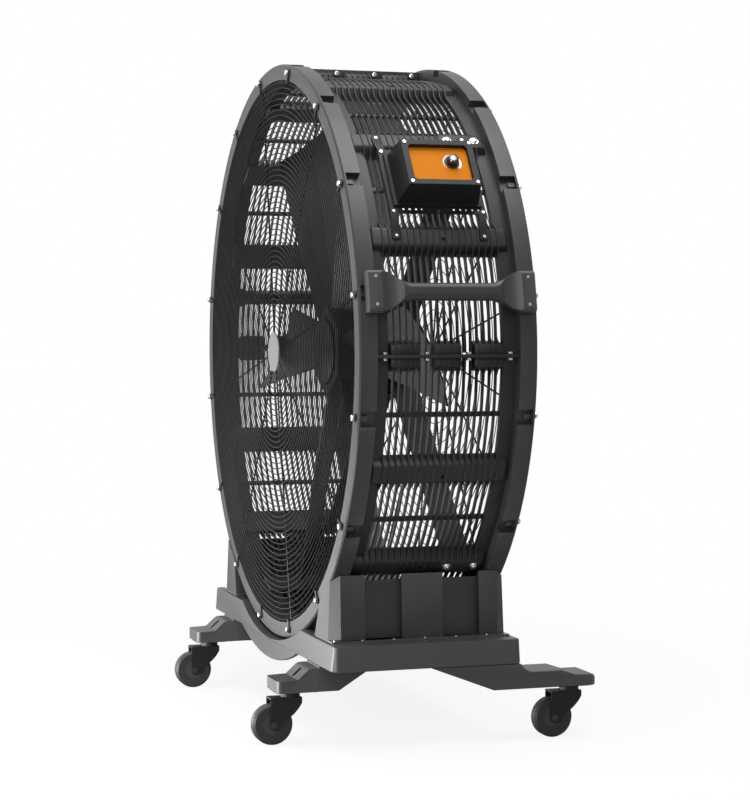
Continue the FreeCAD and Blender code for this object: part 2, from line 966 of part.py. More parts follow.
def along_x(points):
    """Solid of revolution about the knob's axis from (radius, x) points."""
    corners = [V(x, r, 0) for r, x in points]
    body = Part.Face(Part.makePolygon(corners + corners[:1])).revolve(V(0, 0, 0), V(1, 0, 0), 360)
    body.translate(V(0, knob_y, knob_t))
    return body


def knob():
    """Speed knob: skirt, tapered grip and the stem that turns in the potentiometer."""
    face = panel_level() + panel_thickness
    low = face + seat_gap
    stem_end = panel_level() - pot_depth / 2
    return along_x([
        (0, stem_end),
        (knob_stem, stem_end),
        (knob_stem, low),
        (knob_skirt_radius, low),
        (knob_skirt_radius, low + knob_skirt),
        (knob_radius, low + knob_skirt),
        (knob_radius - knob_skirt / 2, low + knob_height),
        (0, low + knob_height),
    ])


def potentiometer():
    """Speed setter behind the face plate, bored for the knob's stem."""
    face = panel_level()
    bore = knob_stem + running_gap
    return along_x([
        (bore, face),
        (pot_radius, face),
        (pot_radius, face - pot_depth),
        (0, face - pot_depth),
        (0, face - pot_depth / 2 - seat_gap),
        (bore, face - pot_depth / 2 - seat_gap),
    ])


def gland_place():
    """Foot of the cable gland on the housing's upper wall, and the way it points."""
    plate, flange, top = box_levels()
    lean = math.atan2((box_foot_height - bezel_height) / 2, box_rise)
    middle = V((flange + top) / 2, -window_length / 4, (box_foot_height + bezel_height) / 4)
    return middle, V(math.sin(lean), 0, math.cos(lean))


def gland():
    """Cable gland, its bore open for a lead."""
    body = Part.makeCylinder(gland_radius, gland_length)
    collar = hexagon(2 * gland_collar, gland_collar_length)
    bore = Part.makeCylinder(gland_bore, gland_length + 2 * overrun, V(0, 0, -overrun))
    foot, direction = gland_place()
    return aimed(body.fuse(collar).cut(bore), foot, direction)


def control_screw_set():
    """Corner screws of the bezel and the screws of the base flange."""
    plate, flange, top = box_levels()
    y = bezel_length / 2 - corner_screw_inset
    t = bezel_height / 2 - corner_screw_inset
    places = [V(top + bezel_thickness, sy * y, sz * t) for sy in (1, -1) for sz in (1, -1)]
    low = plate_half_length - corner_screw_inset
    rows = plate_half_height - screw_radius - vent_gap
    places += [V(plate, k * low, s * rows) for k in (-1, 0, 1) for s in (1, -1)]
    screws = [aimed(screw(), place, V(1, 0, 0)) for place in places]
    x, t = on_bar(rib_flat + leg_thickness, 0)
    y = plate_half_length - leg_width / 2
    away_x, away_t = on_bar(1, 0)
    for side in (1, -1):
        toe = aimed(screw(), V(x, side * y, t), V(away_x, 0, away_t))
        screws += [toe, mirrored(toe, V(0, 0, 1))]
    return screws


def tray_outline(skin):
    """Front outline of the base: a slab that dips in a round trough under the drum."""
    half = base_width / 2 - skin
    top = base_top - skin
    radius = drum_radius + trough_gap + skin
    drop = axis_height - top
    edge = math.sqrt(radius ** 2 - drop ** 2)
    return half, top, radius, edge


def arc_xz(radius, x):
    """Arc about the drum's axis from -x to x, below the axis."""
    z = axis_height - math.sqrt(radius ** 2 - x ** 2)
    return Part.Arc(V(-x, 0, z), V(0, 0, axis_height - radius), V(x, 0, z)).toShape(), z


def base_tray():
    """Moulded base, open underneath: skin, end plates and a trough that follows the drum."""
    half, top, radius, edge = tray_outline(0)
    belly = radius + trough_band
    low_edge = math.sqrt(belly ** 2 - (axis_height - base_bottom) ** 2)
    upper = arc_xz(radius, edge)[0]
    lower = arc_xz(belly, low_edge)[0]
    walls = [
        (V(-half, 0, top), V(-edge, 0, top)),
        (V(edge, 0, top), V(half, 0, top)),
        (V(half, 0, top), V(half, 0, base_bottom)),
        (V(half, 0, base_bottom), V(low_edge, 0, base_bottom)),
        (V(-low_edge, 0, base_bottom), V(-half, 0, base_bottom)),
        (V(-half, 0, base_bottom), V(-half, 0, top)),
    ]
    edges = [upper, lower] + [Part.makeLine(a, b) for a, b in walls]
    face = Part.Face(Part.Wire(Part.__sortEdges__(edges)))
    body = face.extrude(V(0, base_depth, 0))
    body.translate(V(0, base_front, 0))
    corners = [e for e in body.Edges if e.BoundBox.XLength < seat_gap and e.BoundBox.YLength < seat_gap]
    drafts = end_drafts(base_bottom, base_top, base_rear, base_draft)
    body = body.makeChamfer(base_corner, corners).cut(drafts)
    half, top, radius, edge = tray_outline(base_wall)
    skin = arc_xz(radius, edge)[0]
    low = axis_height - belly - trough_band
    rest = Part.makePolygon([
        V(edge, 0, top),
        V(half, 0, top),
        V(half, 0, low),
        V(-half, 0, low),
        V(-half, 0, top),
        V(-edge, 0, top),
    ])
    inset = base_wall + base_draft
    hollow = Part.Face(Part.Wire([skin] + rest.Edges)).extrude(V(0, base_depth - 2 * inset, 0))
    hollow.translate(V(0, base_front + inset, 0))
    return body.cut(hollow)


def end_drafts(low, high, reach, draft):
    """Wedges that lean the front and rear end faces of the base inwards."""
    past = reach + overrun
    profile = [(reach, low), (past, low), (past, high), (reach - draft, high)]
    wedge = outline_yz(profile, -base_width, base_width)
    return [wedge, mirrored(wedge, axis_line)]


def pedestal():
    """Upstand beside the drum: its saddle takes both rims, its outer face has two sunk panels."""
    top = base_top + pedestal_height
    outer = math.sqrt(drum_radius ** 2 - (axis_height - top) ** 2) + pedestal_margin
    inner = outer - pedestal_foot
    knee_x, knee_z = pedestal_knee_shares
    crown_x, crown_z = pedestal_shoulder_shares
    outline = [
        (inner, base_top),
        (outer + pedestal_lean, base_top),
        (outer, top),
        (inner + crown_x * pedestal_foot, base_top + crown_z * pedestal_height),
        (inner + knee_x * pedestal_foot, base_top + knee_z * pedestal_height),
    ]
    half = pedestal_depth / 2
    body = outline_xz(outline, -half, half)
    edges = [
        e for e in body.Edges
        if e.BoundBox.XMin > outer - seat_gap and e.BoundBox.YLength < seat_gap
    ]
    body = body.makeChamfer(pedestal_corner, edges)
    for start in recess_starts:
        sunk = block(
            V(outer - recess_depth, start, base_top + pedestal_flange_thickness),
            V(outer + pedestal_lean + overrun, start + recess_length, top + overrun),
        )
        lower = block(
            V(inner, start, top - recess_drop),
            V(outer + pedestal_lean + overrun, start + recess_length, top + overrun),
        )
        body = body.cut([sunk, lower])
    body = body.cut(end_drafts(base_top, top, half, pedestal_draft))
    reach = half_depth + pedestal_wall_gap
    saddle = rod(drum_radius + pedestal_wall_gap, -reach, reach)
    body = body.cut(on_drum(saddle))
    flange = block(
        V(inner, -half, base_top),
        V(outer + pedestal_lean + pedestal_flange, half, base_top + pedestal_flange_thickness),
    )
    return body.fuse(flange), outer + pedestal_lean


def pedestal_screw_group():
    outer = pedestal()[1]
    first = pedestal_screw_shift - (pedestal_screws - 1) * pedestal_screw_pitch / 2
    rows = [first + i * pedestal_screw_pitch for i in range(pedestal_screws)]
    end = pedestal_depth / 2 - corner_screw_inset
    x = outer + pedestal_flange / 2
    z = base_top + pedestal_flange_thickness
    right = [aimed(screw(), V(x, y, z), V(0, 0, 1)) for y in rows + [-end, end]]
    return right + [mirrored(s, V(1, 0, 0)) for s in right]


def front_arm():
    """Front arm: the gusset under the base."""
    outline = [
        (base_front, arm_bottom),
        (base_front + front_gusset_low, arm_bottom),
        (base_front + front_gusset_high, base_bottom),
        (base_front, base_bottom),
    ]
    half = arm_width / 2
    return outline_yz(outline, front_arm_x - half, front_arm_x + half)


def front_foot():
    """Moulded foot in front of the base: a sloped hump and a slot over the caster's stem."""
    tip = arm_bottom + foot_tip
    outline = [
        (front_end, arm_bottom),
        (base_front, arm_bottom),
        (base_front, arm_bottom + hump_top),
        (base_front - hump_back, arm_bottom + hump_top),
        (base_front - hump_front, tip + screw_head),
        (front_end, tip),
    ]
    half = arm_width / 2
    body = outline_yz(outline, front_arm_x - half, front_arm_x + half)
    ridge = [e for e in body.Edges if runs_along_x(e, base_front - hump_back, arm_bottom + hump_top)]
    body = body.makeFillet(hump_round, ridge)
    boxes = [(e, e.BoundBox) for e in body.Edges]
    tips = [e for e, box in boxes if box.YMax < front_end + seat_gap and box.XLength < seat_gap]
    body = body.makeFillet(foot_round, tips)
    return body.cut(foot_slot(tip + foot_slot_floor))


def runs_along_x(edge, y, z):
    """True for an edge along X at a given (y, z)."""
    box = edge.BoundBox
    return max(abs(box.YMin - y), abs(box.YMax - y), abs(box.ZMin - z), abs(box.ZMax - z)) < seat_gap


def foot_slot(floor):
    """Round-ended slot cut down into the hump over the caster's stem."""
    half = foot_slot_width / 2
    start = base_front - hump_front
    pit = Part.makeCylinder(half, hump_top, V(front_arm_x, start + half, floor))
    run = block(
        V(front_arm_x - half, start + half, floor),
        V(front_arm_x + half, start + foot_slot_length, floor + hump_top),
    )
    return pit.fuse(run)


def rear_arm():
    """Rear arm, flush with the side of the base; its top slopes down over the caster."""
    top = arm_bottom + rear_top
    tip = arm_bottom + foot_tip
    outline = [
        (rear_end, arm_bottom),
        (base_rear - rear_gusset_low, arm_bottom),
        (base_rear - rear_gusset_high, base_bottom),
        (base_rear, base_bottom),
        (base_rear + rear_fillet / 3, base_bottom - rear_fillet / 2),
        (base_rear + rear_fillet, top),
        (base_rear + rear_slope_start, top),
        (base_rear + rear_slope_end, tip),
        (rear_end, tip),
    ]
    half = arm_width / 2
    body = outline_yz(outline, rear_arm_x - half, rear_arm_x + half)
    ends = [e for e in body.Edges if runs_along_x(e, rear_end, tip)]
    body = body.makeChamfer(rear_edge_round, ends)
    boxes = [(e, e.BoundBox) for e in body.Edges]
    corners = [e for e, box in boxes if box.YMin > rear_end - seat_gap and box.XLength < seat_gap]
    return body.makeChamfer(rear_edge_round, corners)


def upright(points):
    """Solid of revolution about a caster's stem from (radius, z) points."""
    corners = [V(r, 0, z) for r, z in points]
    return Part.Face(Part.makePolygon(corners + corners[:1])).revolve(V(0, 0, 0), V(0, 0, 1), 360)


def fork_level():
    """Top of the swivelling fork and the top of its legs."""
    top = arm_bottom - caster_plate - seat_gap
    return top, top - fork_crown + fork_top


def caster_mount():
    """Plate screwed under an arm with the king pin that holds the fork."""
    low = arm_bottom - caster_plate
    plate = block(
        V(-caster_plate_width / 2, -caster_plate_length / 2, low),
        V(caster_plate_width / 2, caster_plate_length / 2, arm_bottom),
    )
    under = fork_level()[1] - fork_top - seat_gap
    pin = upright([
        (0, low),
        (pin_radius, low),
        (pin_radius, under),
        (pin_head_radius, under),
        (pin_head_radius, under - pin_head),
        (0, under - pin_head),
    ])
    return plate.fuse(pin)


def fork():
    """Fork: two cheeks with a swept skirt, a crown plate and the boss that swivels."""
    top, crown = fork_level()
    inner = wheel_width / 2 + cheek_gap
    outer = inner + cheek
    hub_z = wheel_radius
    back = skirt_reach
    front, rear = -trail - leg_front, -trail + leg_back
    bend = V(0, (front + rear) / 2, hub_z - (rear - front) / 2)
    edges = [
        Part.makeLine(V(0, back, crown), V(0, front, crown)),
        Part.makeLine(V(0, front, crown), V(0, front, hub_z)),
        Part.Arc(V(0, front, hub_z), bend, V(0, rear, hub_z)).toShape(),
        Part.makeLine(V(0, rear, hub_z), V(0, rear, hub_z + skirt_rise)),
        Part.Arc(
            V(0, rear, hub_z + skirt_rise),
            V(0, skirt_bulge_reach, crown - skirt_bulge_drop),
            V(0, back, crown - skirt_depth),
        ).toShape(),
        Part.makeLine(V(0, back, crown - skirt_depth), V(0, back, crown)),
    ]
    side = Part.Face(Part.Wire(edges)).extrude(V(cheek, 0, 0))
    sides = [side.copy(), side.copy()]
    sides[0].translate(V(inner, 0, 0))
    sides[1].translate(V(-outer, 0, 0))
    plate = block(V(-outer, front, crown - fork_top), V(outer, back, crown))
    boss = Part.makeCylinder(fork_boss, top - crown, V(0, 0, crown))
    body = plate.multiFuse(sides + [boss])
    pin_hole = Part.makeCylinder(pin_radius + running_gap, 2 * fork_crown, V(0, 0, top - fork_crown))
    axle_hole = Part.makeCylinder(
        axle_radius + press_gap, 2 * outer + 2 * overrun, V(-outer - overrun, -trail, hub_z), V(1, 0, 0)
    )
    return body.cut([pin_hole, axle_hole])


def wheel_turn(points):
    """Solid of revolution about the wheel's axle from (radius, x) points."""
    corners = [V(x, r, 0) for r, x in points]
    body = Part.Face(Part.makePolygon(corners + corners[:1])).revolve(V(0, 0, 0), V(1, 0, 0), 360)
    body.translate(V(0, -trail, wheel_radius))
    return body


def axle():
    """Headed axle through both cheeks."""
    outer = wheel_width / 2 + cheek_gap + cheek
    end = outer + axle_head
    return wheel_turn([
        (0, -end),
        (axle_head_radius, -end),
        (axle_head_radius, -outer),
        (axle_radius, -outer),
        (axle_radius, outer),
        (axle_head_radius, outer),
        (axle_head_radius, end),
        (0, end),
    ])


def wheel_core():
    """Wheel centre with a boss at each side, running on the axle."""
    bore = axle_radius + running_gap
    side = wheel_width / 2 - core_side
    boss = wheel_width / 2 + cheek_gap - seat_gap
    return wheel_turn([
        (bore, -boss),
        (core_boss_radius, -boss),
        (core_boss_radius, -side),
        (core_radius, -side),
        (core_radius, side),
        (core_boss_radius, side),
        (core_boss_radius, boss),
        (bore, boss),
    ])


def tyre():
    """Tread with rounded shoulders."""
    half = wheel_width / 2
    return wheel_turn([
        (core_radius, -half),
        (wheel_radius - tyre_round, -half),
        (wheel_radius, -half + tyre_round),
        (wheel_radius, half - tyre_round),
        (wheel_radius - tyre_round, half),
        (core_radius, half),
    ])


def caster_places():
    """Name and stem place of each caster."""
    places = {}
    for side, sign in (("right", 1), ("left", -1)):
        places["front_" + side] = V(sign * front_arm_x, front_stem_y, 0)
        places["rear_" + side] = V(sign * rear_arm_x, rear_stem_y, 0)
    return places


def moved(shape, place):
    copy = shape.copy()
    copy.translate(place)
    return copy


def write_drum():
    front = rim()
    write("front_rim", [on_drum(front)])
    write("rear_rim", [on_drum(mirrored(rim(), axis_line))])
    panel = cage_panel()
    names = ("right_upper", "left_upper", "left_lower", "right_lower")
    for i, name in enumerate(names):
        write("cage_panel_" + name, [on_drum(turned(panel, panel_angle * i))])
    write("seam_bolts", [on_drum(s) for s in seam_bolt_group()])
    write("front_grille", [on_drum(grille(wire_pitch, grille_spokes))])
    rear = grille(rear_wire_pitch, rear_grille_spokes)
    write("rear_grille", [on_drum(mirrored(rear, axis_line))])
    write("grille_badge", [on_drum(badge())])
    write("grille_clips", [on_drum(s) for s in rim_pair(clip())])
    write("grille_bolts", [on_drum(s) for s in rim_pair(clip_bolt())])


def write_motor_and_fan():
    front, rear = motor_places()
    write("motor_spider", [on_drum(spider())])
    write("spider_bolts", [on_drum(s) for s in spider_bolt_group()])
    write("motor_housing", [on_drum(motor_housing())])
    write("motor_end_cover", [on_drum(motor_cover())])
    seats = (front + bearing_inset, rear + spider_plate + bearing_inset)
    write("motor_bearings", [on_drum(bearing(seat)) for seat in seats])
    write("motor_stator", [on_drum(stator())])
    write("motor_rotor", [on_drum(rotor())])
    write("fan_shaft", [on_drum(shaft())])
    write("fan_hub", [on_drum(hub())])
    write("hub_cap", [on_drum(hub_cap())])
    write("fan_blades", [on_drum(solid) for solid in around(blade(), blades)])


def write_handles():
    right = turned(handle(), handle_angle)
    pads = [turned(p, handle_angle) for p in handle_pad_pair()]
    screws = [turned(s, handle_angle) for s in handle_screw_set()]
    across = V(1, 0, 0)
    write("handle_right", [on_drum(right.copy())])
    write("handle_left", [on_drum(mirrored(right, across))])
    write("handle_pads", [on_drum(s) for s in pads + [mirrored(p, across) for p in pads]])
    write("handle_screws", [on_drum(s) for s in screws + [mirrored(s, across) for s in screws]])


def write_controls():
    pieces = {
        "control_bracket": control_bracket(),
        "control_box": control_box(),
        "control_bezel": control_bezel(),
        "control_panel": control_panel(),
        "speed_knob": knob(),
        "speed_setter": potentiometer(),
        "cable_gland": gland(),
    }
    for name, solid in pieces.items():
        write(name, [on_drum(turned(solid, box_angle))])
    write("control_screws", [on_drum(turned(s, box_angle)) for s in control_screw_set()])


def write_base():
    across = V(1, 0, 0)
    write("base_tray", [base_tray()])
    right = pedestal()[0]
    write("pedestal_right", [right.copy()])
    write("pedestal_left", [mirrored(right, across)])
    write("pedestal_screws", pedestal_screw_group())
    limbs = {"front_arms": front_arm(), "front_feet": front_foot(), "rear_arms": rear_arm()}
    for name, solid in limbs.items():
        write(name, [solid, mirrored(solid, across)])


def write_casters():
    places = caster_places()
    write("caster_plates", [moved(caster_mount(), p) for p in places.values()])
    for corner, place in places.items():
        write("caster_fork_" + corner, [moved(fork(), place)])
        write("wheel_axle_" + corner, [moved(axle(), place)])
        write("wheel_core_" + corner, [moved(wheel_core(), place)])
        write("tyre_" + corner, [moved(tyre(), place)])


os.makedirs("parts", exist_ok=True)
write_drum()
write_motor_and_fan()
write_handles()
write_controls()
write_base()
write_casters()
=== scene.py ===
"""Looks of the portable drum fan: wire grilles, wave-slatted cage, soft-edged mouldings and studio."""

import json
import logging
import math
from dataclasses import dataclass, field
from enum import Enum
from typing import Iterable, Sequence

import bpy
from mathutils import Matrix, Vector

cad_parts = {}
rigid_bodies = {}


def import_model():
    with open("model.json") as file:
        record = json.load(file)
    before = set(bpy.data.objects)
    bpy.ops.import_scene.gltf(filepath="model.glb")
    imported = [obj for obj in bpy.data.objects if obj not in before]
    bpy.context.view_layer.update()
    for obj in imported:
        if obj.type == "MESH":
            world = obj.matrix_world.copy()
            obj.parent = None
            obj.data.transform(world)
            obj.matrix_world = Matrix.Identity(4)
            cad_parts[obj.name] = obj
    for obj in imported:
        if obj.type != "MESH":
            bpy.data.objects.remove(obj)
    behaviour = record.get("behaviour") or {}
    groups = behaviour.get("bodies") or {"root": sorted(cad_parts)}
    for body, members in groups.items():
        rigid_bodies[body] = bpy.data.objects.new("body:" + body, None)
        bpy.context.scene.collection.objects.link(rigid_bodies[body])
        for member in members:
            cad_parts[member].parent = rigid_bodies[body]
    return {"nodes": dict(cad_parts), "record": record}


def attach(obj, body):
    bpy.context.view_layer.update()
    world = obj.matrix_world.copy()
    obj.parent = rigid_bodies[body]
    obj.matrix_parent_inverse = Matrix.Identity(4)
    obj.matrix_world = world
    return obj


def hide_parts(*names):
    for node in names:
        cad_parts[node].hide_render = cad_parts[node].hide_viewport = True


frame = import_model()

LOG = logging.getLogger("drum_fan")
ROOT = "frame"
MERGE = 1e-5
QUARTER = 90.0
MID_GREY = (0.5, 0.5, 0.5, 1.0)
WHITE = (1.0, 1.0, 1.0, 1.0)
Piece = bpy.types.Object
Triple = tuple[float, float, float]
Span = tuple[float, float]


class Side(Enum):
    """End of the drum: the outlet in front or the intake behind."""

    FRONT = -1
    REAR = 1


@dataclass(frozen=True)
class Drum:
    """Sizes that the drum's pieces share, in metres."""

    half_depth: float = 0.221
    axis_z: float = 0.952
    axis_y: float = -0.0215
    seam_bolts: tuple[float, ...] = (-0.156, -0.052, 0.052, 0.156)

    def place(self) -> Matrix:
        """Move from the drum's own frame to the fan's."""
        return Matrix.Translation((0.0, self.axis_y, self.axis_z))

    def turn(self, degrees: float) -> Matrix:
        """Turn about the drum's axis, from +X towards +Z."""
        return Matrix.Rotation(-math.radians(degrees), 4, "Y")


DRUM = Drum()


def deselect() -> None:
    """Leaves nothing selected and no piece in edit mode."""
    if bpy.context.mode != "OBJECT":
        bpy.ops.object.mode_set(mode="OBJECT")
    bpy.ops.object.select_all(action="DESELECT")


def activate(piece: Piece) -> None:
    """Makes one piece the only selected and active one.

    Args:
        piece: The piece.
    """
    deselect()
    piece.select_set(True)
    bpy.context.view_layer.objects.active = piece


def open_mesh(piece: Piece) -> None:
    """Opens a piece in edit mode with its whole mesh selected.

    Args:
        piece: The piece.
    """
    activate(piece)
    bpy.ops.object.mode_set(mode="EDIT")
    bpy.ops.mesh.select_all(action="SELECT")


def close_mesh() -> None:
    """Leaves edit mode."""
    bpy.ops.object.mode_set(mode="OBJECT")


def settle(piece: Piece) -> Piece:
    """Puts a piece's place, turn and size into its mesh.

    Args:
        piece: The piece just added.

    Returns:
        The same piece, its object at the origin.
    """
    activate(piece)
    bpy.ops.object.transform_apply(location=True, rotation=True, scale=True)
    return piece


def add_block(name: str, low: Sequence[float], high: Sequence[float]) -> Piece:
    """Adds a box between two corners.

    Args:
        name: Name of the piece.
        low: Lowest corner.
        high: Highest corner.

    Returns:
        The box.
    """
    deselect()
    lowest, highest = Vector(low), Vector(high)
    bpy.ops.mesh.primitive_cube_add(size=1.0, location=(lowest + highest) / 2, scale=highest - lowest)
    piece = bpy.context.active_object
    piece.name = name
    return settle(piece)


def add_rod(name: str, radius: float, foot: Sequence[float], head: Sequence[float], sides: int) -> Piece:
    """Adds a round bar between two points.

    Args:
        name: Name of the piece.
        radius: Radius of the bar.
        foot: First end.
        head: Second end.
        sides: Count of flats round it.

    Returns:
        The bar.
    """
    deselect()
    start, stop = Vector(foot), Vector(head)
    along = stop - start
    bpy.ops.mesh.primitive_cylinder_add(
        vertices=sides, radius=radius, depth=along.length, location=(start + stop) / 2,
        rotation=along.to_track_quat("Z", "Y").to_euler(),
    )
    piece = bpy.context.active_object
    piece.name = name
    return settle(piece)


def add_outline(name: str, points: Sequence[Vector]) -> Piece:
    """Adds one flat face.

    Args:
        name: Name of the piece.
        points: Its corners in order.

    Returns:
        The face.
    """
    deselect()
    bpy.ops.mesh.primitive_circle_add(vertices=len(points), radius=1.0, fill_type="NGON")
    piece = bpy.context.active_object
    piece.name = name
    for vertex, point in zip(piece.data.vertices, points):
        vertex.co = point
    return piece


def spun_section(name: str, points: Sequence[Span], start: float, sweep: float, steps: int) -> Piece:
    """Spins a closed outline about the drum's axis.

    Args:
        name: Name of the piece.
        points: Outline as (radius, y) pairs.
        start: First angle in degrees, from +X towards +Z.
        sweep: Angle swept in degrees.
        steps: Count of steps.

    Returns:
        The piece, in the drum's own frame.
    """
    piece = add_outline(name, [DRUM.turn(start) @ Vector((radius, y, 0.0)) for radius, y in points])
    open_mesh(piece)
    bpy.ops.mesh.spin(steps=steps, angle=-math.radians(sweep), center=(0, 0, 0), axis=(0, 1, 0))
    bpy.ops.mesh.select_all(action="SELECT")
    bpy.ops.mesh.remove_doubles(threshold=MERGE)
    bpy.ops.mesh.normals_make_consistent(inside=False)
    close_mesh()
    return piece


def soften(piece: Piece, width: float, segments: int = 2, angle: float = 40.0) -> Piece:
    """Rounds a piece's sharp edges with a bevel and shades it smooth.

    Args:
        piece: The piece.
        width: Width of the bevel.
        segments: Steps across it.
        angle: Edges sharper than this, in degrees, are rounded.

    Returns:
        The same piece.
    """
    activate(piece)
    bevel = piece.modifiers.new("soft_edges", "BEVEL")
    bevel.width = width
    bevel.segments = segments
    bevel.limit_method = "ANGLE"
    bevel.angle_limit = math.radians(angle)
    bpy.ops.object.modifier_apply(modifier=bevel.name)
    return smooth(piece)


def smooth(piece: Piece, angle: float = 35.0) -> Piece:
    """Shades a piece smooth except across sharp edges.

    Args:
        piece: The piece.
        angle: Edges sharper than this, in degrees, stay crisp.

    Returns:
        The same piece.
    """
    activate(piece)
    bpy.ops.object.shade_smooth_by_angle(angle=math.radians(angle))
    return piece


def even_normals(piece: Piece) -> Piece:
    """Weighs a piece's normals by face area, so that flat faces stay flat beside rounded edges.

    Args:
        piece: The piece, already shaded smooth.

    Returns:
        The same piece.
    """
    activate(piece)
    weights = piece.modifiers.new("even_normals", "WEIGHTED_NORMAL")
    weights.keep_sharp = True
    bpy.ops.object.modifier_apply(modifier=weights.name)
    return piece


def carve(piece: Piece, tool: Piece) -> Piece:
    """Cuts one piece out of another.

    Args:
        piece: The piece that stays.
        tool: The piece that is taken away, and then removed.

    Returns:
        The carved piece.
    """
    activate(piece)
    difference = piece.modifiers.new("carve", "BOOLEAN")
    difference.operation = "DIFFERENCE"
    difference.object = tool
    bpy.ops.object.modifier_apply(modifier=difference.name)
    bpy.data.objects.remove(tool)
    return piece


def join(pieces: Iterable[Piece], name: str) -> Piece:
    """Joins several pieces in one mesh.

    Args:
        pieces: The pieces to join.
        name: Name of the joined piece.

    Returns:
        The joined piece.
    """
    members = list(pieces)
    deselect()
    for piece in members:
        piece.select_set(True)
    bpy.context.view_layer.objects.active = members[0]
    bpy.ops.object.join()
    joined = bpy.context.active_object
    joined.name = name
    return joined


def twin(piece: Piece, name: str, move: Matrix) -> Piece:
    """Copies a piece with a mesh of its own, moved in its mesh.

    Args:
        piece: The piece to copy.
        name: Name of the copy.
        move: Where the copy goes; one that mirrors has its faces turned out again.

    Returns:
        The copy.
    """
    activate(piece)
    bpy.ops.object.duplicate(linked=False)
    copy = bpy.context.active_object
    copy.name = name
    bpy.ops.object.parent_clear(type="CLEAR_KEEP_TRANSFORM")
    copy.data.transform(move)
    if move.determinant() < 0:
        open_mesh(copy)
        bpy.ops.mesh.flip_normals()
        close_mesh()
    return copy


